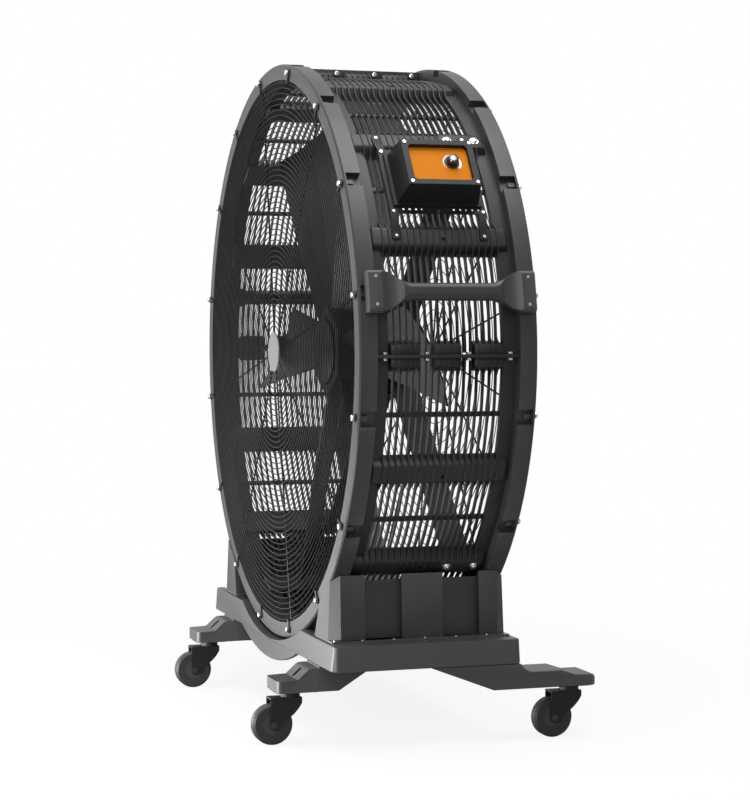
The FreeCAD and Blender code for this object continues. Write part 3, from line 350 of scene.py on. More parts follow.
class Effects:
    """Shader node groups that several finishes share."""

    mottle_scale: float = 7.0
    dust_scale: float = 14.0
    dust_colour: Triple = (0.32, 0.31, 0.30)
    # Paler cool colour laid on sharp edges by pointiness: a painted highlight.
    edge_highlight_colour: Triple = (0.20, 0.205, 0.215)
    edge_highlight_span: Span = (0.52, 0.62)

    def __init__(self) -> None:
        """Builds each group once."""
        self.grain = self._grain()
        self.dust = self._dust()
        self.edge_highlight = self._edge_highlight()

    @staticmethod
    def _new(name: str, inputs: dict[str, tuple[str, object]], outputs: dict[str, str]) -> bpy.types.NodeTree:
        """Makes an empty group.

        Args:
            name: Name of the group.
            inputs: Socket type and default of each input.
            outputs: Socket type of each output.

        Returns:
            The group with its input and output nodes.
        """
        group = bpy.data.node_groups.new(name, "ShaderNodeTree")
        for label, (kind, value) in inputs.items():
            socket = group.interface.new_socket(label, in_out="INPUT", socket_type=kind)
            socket.default_value = value
        for label, kind in outputs.items():
            group.interface.new_socket(label, in_out="OUTPUT", socket_type=kind)
        group.nodes.new("NodeGroupInput").name = "in"
        group.nodes.new("NodeGroupOutput").name = "out"
        return group

    def _layer(self, name: str, pale: Triple) -> tuple[bpy.types.NodeTree, bpy.types.NodeSocket]:
        """Starts a group that lays a pale colour over the finish's own.

        Args:
            name: Name of the group.
            pale: The colour that is laid over.

        Returns:
            The group, and the socket that takes its mask.
        """
        group = self._new(
            name,
            {"Colour": ("NodeSocketColor", MID_GREY), "Amount": ("NodeSocketFloat", 0.1)},
            {"Colour": "NodeSocketColor"},
        )
        nodes, links = group.nodes, group.links
        share = nodes.new("ShaderNodeMath")
        share.operation = "MULTIPLY"
        links.new(nodes["in"].outputs["Amount"], share.inputs[1])
        mix = nodes.new("ShaderNodeMix")
        mix.data_type = "RGBA"
        mix.inputs["B"].default_value = (*pale, 1.0)
        links.new(share.outputs[0], mix.inputs["Factor"])
        links.new(nodes["in"].outputs["Colour"], mix.inputs["A"])
        links.new(mix.outputs["Result"], nodes["out"].inputs["Colour"])
        return group, share.inputs[0]

    def _grain(self) -> bpy.types.NodeTree:
        """Fine moulded grain with slow mottling of the colour.

        Returns:
            The group.
        """
        group = self._new(
            "moulded_grain",
            {
                "Colour": ("NodeSocketColor", MID_GREY),
                "Scale": ("NodeSocketFloat", 600.0),
                "Mottle": ("NodeSocketFloat", 0.1),
                "Roughness": ("NodeSocketFloat", 0.5),
            },
            {"Colour": "NodeSocketColor", "Roughness": "NodeSocketFloat", "Height": "NodeSocketFloat"},
        )
        nodes, links = group.nodes, group.links
        place = nodes.new("ShaderNodeTexCoord")
        fine = nodes.new("ShaderNodeTexNoise")
        fine.inputs["Detail"].default_value = 2.0
        slow = nodes.new("ShaderNodeTexNoise")
        slow.inputs["Scale"].default_value = self.mottle_scale
        slow.inputs["Detail"].default_value = 4.0
        for noise in (fine, slow):
            links.new(place.outputs["Object"], noise.inputs["Vector"])
        links.new(nodes["in"].outputs["Scale"], fine.inputs["Scale"])
        centred = nodes.new("ShaderNodeMath")
        centred.operation = "SUBTRACT"
        centred.inputs[1].default_value = 0.5
        links.new(slow.outputs["Fac"], centred.inputs[0])
        spread = nodes.new("ShaderNodeMath")
        spread.operation = "MULTIPLY_ADD"
        spread.inputs[2].default_value = 1.0
        links.new(centred.outputs[0], spread.inputs[0])
        links.new(nodes["in"].outputs["Mottle"], spread.inputs[1])
        tint = nodes.new("ShaderNodeVectorMath")
        tint.operation = "SCALE"
        links.new(nodes["in"].outputs["Colour"], tint.inputs[0])
        links.new(spread.outputs[0], tint.inputs["Scale"])
        rough = nodes.new("ShaderNodeMath")
        rough.operation = "MULTIPLY"
        links.new(nodes["in"].outputs["Roughness"], rough.inputs[0])
        links.new(spread.outputs[0], rough.inputs[1])
        links.new(tint.outputs["Vector"], nodes["out"].inputs["Colour"])
        links.new(rough.outputs[0], nodes["out"].inputs["Roughness"])
        links.new(fine.outputs["Fac"], nodes["out"].inputs["Height"])
        return group

    def _dust(self) -> bpy.types.NodeTree:
        """Thin pale dust on what faces up.

        Returns:
            The group.
        """
        group, mask = self._layer("settled_dust", self.dust_colour)
        nodes, links = group.nodes, group.links
        facing = nodes.new("ShaderNodeNewGeometry")
        split = nodes.new("ShaderNodeSeparateXYZ")
        links.new(facing.outputs["Normal"], split.inputs[0])
        place = nodes.new("ShaderNodeTexCoord")
        patches = nodes.new("ShaderNodeTexNoise")
        patches.inputs["Scale"].default_value = self.dust_scale
        patches.inputs["Detail"].default_value = 5.0
        links.new(place.outputs["Object"], patches.inputs["Vector"])
        upward = nodes.new("ShaderNodeMath")
        upward.operation = "MULTIPLY"
        upward.use_clamp = True
        links.new(split.outputs["Z"], upward.inputs[0])
        links.new(patches.outputs["Fac"], upward.inputs[1])
        links.new(upward.outputs[0], mask)
        return group

    def _edge_highlight(self) -> bpy.types.NodeTree:
        """Painted highlight: paler, slightly cool colour along sharp edges.

        Returns:
            The group.
        """
        group, mask = self._layer("painted_edge_highlight", self.edge_highlight_colour)
        nodes, links = group.nodes, group.links
        shape = nodes.new("ShaderNodeNewGeometry")
        edge = nodes.new("ShaderNodeMapRange")
        edge.inputs["From Min"].default_value = self.edge_highlight_span[0]
        edge.inputs["From Max"].default_value = self.edge_highlight_span[1]
        links.new(shape.outputs["Pointiness"], edge.inputs["Value"])
        links.new(edge.outputs["Result"], mask)
        return group


@dataclass(frozen=True)
class Finish:
    """One surface finish, written as it should look in plain light; the edge highlight and the two darker
    charcoal copies are painted light and shade.
    """

    name: str
    colour: Triple
    roughness: float
    metallic: float = 0.0
    grain_scale: float = 700.0
    grain_depth: float = 0.1
    grain_height: float = 0.0004
    mottle: float = 0.15
    dust: float = 0.0
    # Amount of painted highlight on sharp edges.
    edge_highlight: float = 0.0
    specular: float = 0.5
    slot: str = ""

    def material(self, effects: Effects) -> bpy.types.Material:
        """Builds the material.

        Args:
            effects: The shared node groups.

        Returns:
            The material.
        """
        made = bpy.data.materials.new(self.name)
        made.use_nodes = True
        nodes, links = made.node_tree.nodes, made.node_tree.links
        shader = nodes["Principled BSDF"]
        shader.inputs["Metallic"].default_value = self.metallic
        shader.inputs["Specular IOR Level"].default_value = self.specular
        grain = nodes.new("ShaderNodeGroup")
        grain.node_tree = effects.grain
        grain.inputs["Colour"].default_value = (*self.colour, 1.0)
        grain.inputs["Scale"].default_value = self.grain_scale
        grain.inputs["Mottle"].default_value = self.mottle
        grain.inputs["Roughness"].default_value = self.roughness
        colour = grain.outputs["Colour"]
        # The edge layer lays a painted highlight; the dust layer is dust.
        for effect, amount in ((effects.edge_highlight, self.edge_highlight), (effects.dust, self.dust)):
            if amount > 0.0:
                layer = nodes.new("ShaderNodeGroup")
                layer.node_tree = effect
                layer.inputs["Amount"].default_value = amount
                links.new(colour, layer.inputs["Colour"])
                colour = layer.outputs["Colour"]
        bump = nodes.new("ShaderNodeBump")
        bump.inputs["Strength"].default_value = self.grain_depth
        bump.inputs["Distance"].default_value = self.grain_height
        links.new(grain.outputs["Height"], bump.inputs["Height"])
        links.new(colour, shader.inputs["Base Color"])
        links.new(grain.outputs["Roughness"], shader.inputs["Roughness"])
        links.new(bump.outputs["Normal"], shader.inputs["Normal"])
        return made


FINISHES: dict[str, Finish] = {finish.name: finish for finish in (
    # The edge amounts on these two plastics are painted highlight.
    Finish("charcoal_plastic", (0.026, 0.026, 0.026), 0.42, dust=0.06, edge_highlight=0.4),
    # Darker copy of charcoal_plastic for the cage: painted shade of its recesses.
    Finish("cage_charcoal_painted_shade", (0.0168, 0.0168, 0.0170), 0.46, dust=0.04, specular=0.4, slot="charcoal_plastic"),
    # Darker copy of charcoal_plastic for the control box: painted shade.
    Finish("box_charcoal_painted_shade", (0.010, 0.010, 0.0104), 0.48, dust=0.02, specular=0.3, slot="charcoal_plastic"),
    Finish("handle_plastic", (0.026, 0.026, 0.0262), 0.40, dust=0.05, edge_highlight=0.3),
    Finish("zinc_steel", (0.86, 0.86, 0.85), 0.26, metallic=1.0, grain_scale=300.0, grain_depth=0.04),
    Finish("cap_alloy", (0.42, 0.42, 0.42), 0.4, metallic=0.9, grain_depth=0.04, slot="zinc_steel"),
    Finish("dark_screw", (0.05, 0.05, 0.05), 0.35, metallic=0.7, grain_depth=0.04),
    Finish("black_wire", (0.006, 0.006, 0.0063), 0.46, grain_depth=0.05, specular=0.25),
    Finish("black_clip", (0.012, 0.012, 0.012), 0.40),
    Finish("badge_grey", (0.185, 0.185, 0.182), 0.55, grain_depth=0.05, mottle=0.06, specular=0.3),
    Finish("dial_print", (0.80, 0.80, 0.78), 0.45, grain_depth=0.02, mottle=0.04, slot="badge_grey"),
    Finish("carrier_steel", (0.009, 0.009, 0.0094), 0.45, specular=0.3),
    Finish("motor_alloy", (0.011, 0.011, 0.0115), 0.5, grain_scale=350.0, grain_depth=0.2, specular=0.35),
    Finish("core_steel", (0.48, 0.48, 0.48), 0.3, metallic=1.0, grain_depth=0.05),
    Finish("blade_plastic", (0.010, 0.010, 0.0104), 0.42, dust=0.02, specular=0.3),
    Finish("pad_rubber", (0.012, 0.012, 0.012), 0.75),
    Finish("panel_orange", (0.54, 0.165, 0.004), 0.5, grain_depth=0.04, mottle=0.14, specular=0.08),
    Finish("wheel_core", (0.030, 0.030, 0.031), 0.5),
    Finish("tyre_rubber", (0.014, 0.014, 0.014), 0.55, grain_depth=0.2, dust=0.05),
)}


class Wardrobe:
    """Materials of the finishes, handed to pieces by the finishes' names."""

    def __init__(self) -> None:
        """Builds every material once."""
        effects = Effects()
        self.made: dict[str, bpy.types.Material] = {
            name: finish.material(effects) for name, finish in FINISHES.items()
        }

    def dress(self, piece: Piece, slot: str) -> Piece:
        """Gives a piece one finish all over.

        Args:
            piece: The piece.
            slot: Name of the finish.

        Returns:
            The same piece.
        """
        piece.data.materials.clear()
        piece.data.materials.append(self.made[slot])
        return piece

    def dress_frame(self) -> None:
        """Dresses every solid of the frame in the finish of its record."""
        for row in frame["record"]["subparts"]:
            self.dress(frame["nodes"][row["node"]], row["material_slot"])


def show(
    piece: Piece, wardrobe: Wardrobe, slot: str, body: str = ROOT, stands_for: Sequence[str] = ()
) -> None:
    """Dresses a new piece, lets it ride on a body and reports it.

    Args:
        piece: The finished piece, in the fan's frame.
        wardrobe: The materials.
        slot: Name of its finish.
        body: The body that carries it.
        stands_for: Solids that it is shown in place of.
    """
    wardrobe.dress(piece, slot)
    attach(piece, body)
    if stands_for:
        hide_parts(*stands_for)
    LOG.info("%s: %d faces on %s", piece.name, len(piece.data.polygons), body)


@dataclass
class Mouldings:
    """Solids of the frame shown with the soft edges of moulded and pressed pieces."""

    radii: dict[str, float] = field(default_factory=lambda: {
        "front_rim": 0.0014, "rear_rim": 0.0014, "base_tray": 0.003, "pedestal_right": 0.003,
        "pedestal_left": 0.003, "front_arms": 0.002, "front_feet": 0.004, "rear_arms": 0.006,
        "control_box": 0.003, "control_bezel": 0.0018, "control_bracket": 0.0008, "grille_clips": 0.0012,
        "handle_pads": 0.001, "hub_cap": 0.004, "motor_spider": 0.0015, "caster_plates": 0.0008,
        "caster_fork_front_right": 0.0008, "caster_fork_front_left": 0.0008,
        "caster_fork_rear_right": 0.0008, "caster_fork_rear_left": 0.0008,
    })
    edge_angle: float = 28.0
    flat_angle: float = 0.4
    # Solids dressed in the darker box charcoal: painted shade.
    painted_shade_nodes: tuple[str, ...] = ("control_box", "control_bezel", "control_bracket")
    handle_angle: float = 11.25
    handle_face: float = 0.788
    handle_crisp: float = 24.0
    scoop_radius: float = 0.060
    scoop_depth: float = 0.0065
    scoop_place: float = 0.146
    scoop_reach: float = 0.070
    scoop_sides: int = 96

    def merged(self, node: str) -> Piece:
        """Copies a solid, closes its mesh and joins its flat triangles.

        Args:
            node: Name of the solid.

        Returns:
            The copy.
        """
        copy = twin(frame["nodes"][node], f"soft_{node}", Matrix.Identity(4))
        activate(copy)
        bpy.ops.mesh.customdata_custom_splitnormals_clear()
        open_mesh(copy)
        bpy.ops.mesh.remove_doubles(threshold=MERGE)
        bpy.ops.mesh.dissolve_limited(angle_limit=math.radians(self.flat_angle))
        close_mesh()
        return copy

    def handle(self, node: str, angle: float) -> Piece:
        """Hollows a handle's face between its end blocks and its grip.

        Args:
            node: Name of the handle's solid.
            angle: Its angle about the drum's axis in degrees.

        Returns:
            The handle.
        """
        piece = self.merged(node)
        centre = self.handle_face + self.scoop_radius - self.scoop_depth
        for y in (-self.scoop_place, self.scoop_place):
            foot, head = (centre, y, -self.scoop_reach), (centre, y, self.scoop_reach)
            tool = add_rod("scoop", self.scoop_radius, foot, head, self.scoop_sides)
            tool.data.transform(DRUM.place() @ DRUM.turn(angle))
            carve(piece, tool)
        return even_normals(smooth(piece, self.handle_crisp))

    def build(self, wardrobe: Wardrobe) -> None:
        """Softens each solid and shows it for the plain one.

        Args:
            wardrobe: The materials.
        """
        slots = {row["node"]: row["material_slot"] for row in frame["record"]["subparts"]}
        bodies = frame["record"]["behaviour"]["bodies"]
        homes = {node: body for body, nodes in bodies.items() for node in nodes}
        for node, radius in self.radii.items():
            piece = soften(self.merged(node), radius, angle=self.edge_angle)
            # The control box solids get painted shade from the darker charcoal.
            slot = "box_charcoal_painted_shade" if node in self.painted_shade_nodes else slots[node]
            show(even_normals(piece), wardrobe, slot, homes[node], [node])
        handles = {"handle_right": self.handle_angle, "handle_left": 180.0 - self.handle_angle}
        for node, angle in handles.items():
            show(self.handle(node, angle), wardrobe, slots[node], homes[node], [node])


@dataclass
class WireGrille:
    """Round wires on radial spokes, welded on a shallow cone."""

    side: Side
    pitch: float
    wire: float
    spokes: int
    outer: float = 0.7035
    inner: float = 0.058
    rise: float = 0.0045
    segments: int = 96
    wire_sides: int = 5
    spoke_radius: float = 0.0024
    spoke_sides: int = 8
    first_spoke: float = 11.25
    crisp: float = 60.0

    def level(self, radius: float) -> float:
        """Place along the axis of the wires' middle at a radius, in front of the drum."""
        return -DRUM.half_depth + self.wire - self.rise * (1.0 - radius / self.outer)

    def ring(self, radius: float) -> Piece:
        """Bends one wire to a ring.

        Args:
            radius: Radius of the ring.

        Returns:
            The ring.
        """
        deselect()
        bpy.ops.mesh.primitive_torus_add(
            major_radius=radius, minor_radius=self.wire,
            major_segments=self.segments, minor_segments=self.wire_sides,
            location=(0.0, self.level(radius), 0.0), rotation=(math.pi / 2, 0.0, 0.0),
        )
        return settle(bpy.context.active_object)

    def spoke(self, degrees: float) -> Piece:
        """Lays one spoke behind the rings.

        Args:
            degrees: Its angle about the drum's axis.

        Returns:
            The spoke.
        """
        back = self.wire + self.spoke_radius
        turn = DRUM.turn(degrees)
        foot = turn @ Vector((self.inner - self.pitch, self.level(self.inner) + back, 0.0))
        head = turn @ Vector((self.outer, self.level(self.outer) + back, 0.0))
        return add_rod("spoke", self.spoke_radius, foot, head, self.spoke_sides)

    def build(self, wardrobe: Wardrobe) -> None:
        """Makes the rings and spokes and shows them for the plain grille.

        Args:
            wardrobe: The materials.
        """
        count = int((self.outer - self.inner) / self.pitch) + 1
        members = [self.ring(self.outer - i * self.pitch) for i in range(count)]
        members += [self.spoke(self.first_spoke + 360.0 * i / self.spokes) for i in range(self.spokes)]
        name = self.side.name.lower()
        grille = smooth(join(members, f"{name}_wires"), self.crisp)
        if self.side is Side.REAR:
            flipped = twin(grille, f"{name}_wires_turned", Matrix.Scale(-1.0, 4, (0, 1, 0)))
            bpy.data.objects.remove(grille)
            grille = flipped
        grille.data.transform(DRUM.place())
        show(grille, wardrobe, "black_wire", stands_for=[f"{name}_grille"])


@dataclass
class Cage:
    """Quarter panels with slats that rise in a wave over the bars and seams."""

    outer: float = 0.720
    depth: float = 0.014
    half_width: float = 0.1765
    bays: int = 4
    crisp: float = 40.0
    slats: int = 19
    pitch: float = 0.016
    thickness: float = 0.0034
    slat_edge: float = 0.55
    slat_margin: float = 0.2
    steps: int = 90
    lift: float = 0.017
    crown_ease: float = 0.001
    foot_ease: float = 0.009
    bolt_gap: float = 0.0155
    bar_half: float = 0.040
    bar_crown: float = 0.7338
    bar_foot: float = 0.699
    bar_reach: float = 0.1745
    bar_round: float = 0.006
    crown_half: float = 0.023
    hip: float = 0.005
    notch_depth: float = 0.007
    notch_over: float = 0.01
    notch_along: Span = (0.0035, 0.0125)
    notch_across: Span = (-0.013, -0.001)
    pad_span: Span = (0.053, 0.163)
    pad_sink: float = 0.004
    pad_round: float = 0.003
    seam_half: float = 0.038
    seam_crown: float = 0.746
    seam_thickness: float = 0.0039
    seam_round: float = 0.0008
    seam_pad_half: float = 0.036
    seam_pad_across: Span = (0.002, 0.037)
    seam_pad_slope: float = 0.011
    seam_pad_round: float = 0.004
    web_top: float = 0.721
    web_span: Span = (0.172, 0.1768)
    thin_foot: float = 0.702
    thin_crown: float = 0.711
    thin_reach: float = 0.174
    thin_half: float = 0.006
    thin_round: float = 0.002

    @property
    def bar_step(self) -> float:
        """Angle from one bar to the next in degrees."""
        return QUARTER / self.bays

    @property
    def row_half(self) -> float:
        """Place of the last slat along the axis."""
        return self.pitch * (self.slats - 1) / 2

    def wave(self, degrees: float, y: float) -> float:
        """How far a slat's outer edge rises at an angle.

        Args:
            degrees: Angle within the quarter.
            y: Place of the slat along the axis.

        Returns:
            The rise in metres.
        """
        nearest = round(degrees / self.bar_step)
        away = abs(math.radians(degrees - nearest * self.bar_step)) * self.outer
        seam = nearest % self.bays == 0
        if seam and min(abs(y - bolt) for bolt in DRUM.seam_bolts) < self.bolt_gap:
            return 0.0
        full = self.crown_half - self.crown_ease
        reach = (self.seam_half if seam else self.bar_half) + self.foot_ease
        if away <= full:
            return self.lift
        if away >= reach:
            return 0.0
        share = (away - full) / (reach - full)
        return self.lift * (0.5 + 0.5 * math.cos(math.pi * share))

    def slat(self, y: float) -> Piece:
        """Makes one slat of a quarter.

        Args:
            y: Place along the axis.

        Returns:
            The slat.
        """
        half = self.thickness / 2
        inner = self.outer - self.depth
        edge = half * self.slat_edge
        points = [
            (inner, y - half), (self.outer - edge, y - half), (self.outer, y - half + edge),
            (self.outer, y + half - edge), (self.outer - edge, y + half), (inner, y + half),
        ]
        piece = spun_section("slat", points, self.slat_margin, QUARTER - 2 * self.slat_margin, self.steps)
        middle = self.outer - self.depth / 2
        for vertex in piece.data.vertices:
            radius = math.hypot(vertex.co.x, vertex.co.z)
            if radius > middle:
                angle = math.degrees(math.atan2(vertex.co.z, vertex.co.x))
                grown = (radius + self.wave(angle, y)) / radius
                vertex.co.x *= grown
                vertex.co.z *= grown
        return piece

    def bar(self, degrees: float) -> Piece:
        """Makes one wide bar with rounded shoulders, hipped ends and a drain notch.

        Args:
            degrees: Its angle within the quarter.

        Returns:
            The bar.
        """
        piece = add_block(
            "bar",
            (self.bar_foot, -self.bar_reach, -self.bar_half),
            (self.bar_crown, self.bar_reach, self.bar_half),
        )
        for vertex in piece.data.vertices:
            if vertex.co.x > (self.bar_foot + self.bar_crown) / 2:
                vertex.co.z *= self.crown_half / self.bar_half
                vertex.co.y *= 1.0 - self.hip / self.bar_reach
        soften(piece, self.bar_round, 3)
        notch = add_block(
            "notch",
            (self.bar_crown - self.notch_depth, self.notch_along[0], self.notch_across[0]),
            (self.bar_crown + self.notch_over, self.notch_along[1], self.notch_across[1]),
        )
        carve(piece, notch)
        piece.data.transform(DRUM.turn(degrees))
        return piece

    def bolt_pad(self) -> Piece:
        """Makes the smooth pad between the ribs of the middle bar.

        Returns:
            The pad.
        """
        low, high = self.pad_span
        pad = add_block(
            "bolt_pad",
            (self.bar_crown - self.pad_sink, low, -self.crown_half),
            (self.outer + self.lift, high, self.crown_half),
        )
        soften(pad, self.pad_round).data.transform(DRUM.turn(QUARTER / 2))
        return pad

    def seam_end(self, mirror: bool) -> list[Piece]:
        """Makes the seam plate and its pads at one end of the quarter.

        Args:
            mirror: True for the far end.

        Returns:
            The pieces.
        """
        plate = add_block(
            "seam_plate",
            (self.bar_foot, -self.half_width, 0.0),
            (self.seam_crown, self.half_width, self.seam_thickness),
        )
        made = [soften(plate, self.seam_round)]
        for low, high in zip(DRUM.seam_bolts, DRUM.seam_bolts[1:]):
            middle = (low + high) / 2
            pad = add_block(
                "seam_pad",
                (self.bar_foot, middle - self.seam_pad_half, self.seam_pad_across[0]),
                (self.bar_crown, middle + self.seam_pad_half, self.seam_pad_across[1]),
            )
            for vertex in pad.data.vertices:
                if vertex.co.x > self.outer and vertex.co.z > self.seam_pad_slope:
                    vertex.co.z -= self.seam_pad_slope
            made.append(soften(pad, self.seam_pad_round))
        if not mirror:
            return made
        move = DRUM.turn(QUARTER) @ Matrix.Scale(-1.0, 4, (0, 0, 1))
        far = [twin(piece, piece.name, move) for piece in made]
        for piece in made:
            bpy.data.objects.remove(piece)
        return far

    def margins(self) -> list[Piece]:
        """Makes the closed bands beside the slats and the webs at the rims.

        Returns:
            The pieces.
        """
        inner = self.outer - self.depth
        strips = (
            ("margin", self.outer, self.row_half, self.half_width),
            ("web", self.web_top, *self.web_span),
        )
        made = []
        for sign in (-1.0, 1.0):
            for name, top, near, far in strips:
                points = [(inner, sign * near), (top, sign * near), (top, sign * far), (inner, sign * far)]
                made.append(spun_section(name, points, 0.0, QUARTER, self.steps // 2))
        return made

    def thin_bars(self) -> list[Piece]:
        """Makes the thin bars under the slats.

        Returns:
            The pieces.
        """
        made = []
        for i in range(self.bays):
            bar = add_block(
                "thin_bar",
                (self.thin_foot, -self.thin_reach, -self.thin_half),
                (self.thin_crown, self.thin_reach, self.thin_half),
            )
            soften(bar, self.thin_round).data.transform(DRUM.turn(self.bar_step * (i + 0.5)))
            made.append(bar)
        return made

    def build(self, wardrobe: Wardrobe) -> None:
        """Makes one quarter and shows it four times round the drum.

        Args:
            wardrobe: The materials.
        """
        members = [self.slat(-self.row_half + i * self.pitch) for i in range(self.slats)]
        members += [self.bar(self.bar_step * (i + 1)) for i in range(self.bays - 1)]
        members += [self.bolt_pad()] + self.seam_end(False) + self.seam_end(True)
        members += self.margins() + self.thin_bars()
        quarter = smooth(join(members, "cage_quarter"), self.crisp)
        names = ("right_upper", "left_upper", "left_lower", "right_lower")
        for i, name in enumerate(names):
            panel = twin(quarter, f"slatted_{name}", DRUM.place() @ DRUM.turn(QUARTER * i))
            # The whole cage wears the darker charcoal: painted shade.
            show(panel, wardrobe, "cage_charcoal_painted_shade", stands_for=[f"cage_panel_{name}"])
        bpy.data.objects.remove(quarter)


@dataclass
class Fasteners:
    """Chamfered hexagon bolts on the grilles, the seams and the motor carrier."""

    flats: float = 0.013
    height: float = 0.006
    chamfer: float = 0.0011
    edge_angle: float = 50.0
    crisp: float = 30.0
    washer_radius: float = 0.0115
    washer_thickness: float = 0.002
    washer_round: float = 0.0005
    washer_sides: int = 20
    rim_bolts: int = 16
    rim_bolt_radius: float = 0.730
    rim_bolt_level: float = 0.226
    seam_radius: float = 0.735
    seam_face: float = 0.004
    carrier_radius: float = 0.7366
    carrier_places: Span = (0.073, 0.143)

    def head(self, washer: bool) -> Piece:
        """Makes one bolt head standing along +Z.

        Args:
            washer: True for a head on a washer.

        Returns:
            The head.
        """
        foot = self.washer_thickness if washer else 0.0
        deselect()
        bpy.ops.mesh.primitive_cylinder_add(
            vertices=6, radius=self.flats / math.sqrt(3.0), depth=self.height,
            location=(0.0, 0.0, foot + self.height / 2),
        )
        nut = soften(settle(bpy.context.active_object), self.chamfer, angle=self.edge_angle)
        if not washer:
            return nut
        ring = add_rod("washer", self.washer_radius, (0.0, 0.0, 0.0), (0.0, 0.0, foot), self.washer_sides)
        return join([nut, soften(ring, self.washer_round, 1, self.edge_angle)], "bolt")

    def scatter(self, head: Piece, places: Iterable[Matrix], name: str) -> Piece:
        """Copies a head to every place and joins the copies.

        Args:
            head: The head, which is then removed.
            places: Where each copy goes.
            name: Name of the joined piece.

        Returns:
            The joined piece.
        """
        copies = [twin(head, name, DRUM.place() @ place) for place in places]
        bpy.data.objects.remove(head)
        return smooth(join(copies, name), self.crisp)

    @staticmethod
    def aimed(angle: float, foot: Sequence[float], way: Sequence[float]) -> Matrix:
        """Place of a head on the drum.

        Args:
            angle: Angle about the drum's axis in degrees.
            foot: Where it stands, before that turn.
            way: Which way it points, before that turn.

        Returns:
            The place.
        """
        turn = Vector(way).to_track_quat("Z", "Y").to_matrix().to_4x4()
        return DRUM.turn(angle) @ Matrix.Translation(Vector(foot)) @ turn

    def build(self, wardrobe: Wardrobe) -> None:
        """Makes the three sets of bolts.

        Args:
            wardrobe: The materials.
        """
        step = 360.0 / self.rim_bolts
        radius, level = self.rim_bolt_radius, self.rim_bolt_level
        rims = [
            self.aimed(step * (i + 0.5), (radius, side * level, 0.0), (0.0, side, 0.0))
            for i in range(self.rim_bolts) for side in (-1.0, 1.0)
        ]
        seams = [
            self.aimed(QUARTER * i, (self.seam_radius, y, side * self.seam_face), (0.0, 0.0, side))
            for i in range(4) for y in DRUM.seam_bolts for side in (-1.0, 1.0)
        ]
        carriers = [
            self.aimed(QUARTER * (i + 0.5), (self.carrier_radius, y, 0.0), (1.0, 0.0, 0.0))
            for i in range(4) for y in self.carrier_places
        ]
        sets = (("grille_bolts", False, rims), ("seam_bolts", False, seams), ("spider_bolts", True, carriers))
        for node, washer, places in sets:
            piece = self.scatter(self.head(washer), places, f"bright_{node}")
            show(piece, wardrobe, "zinc_steel", stands_for=[node])


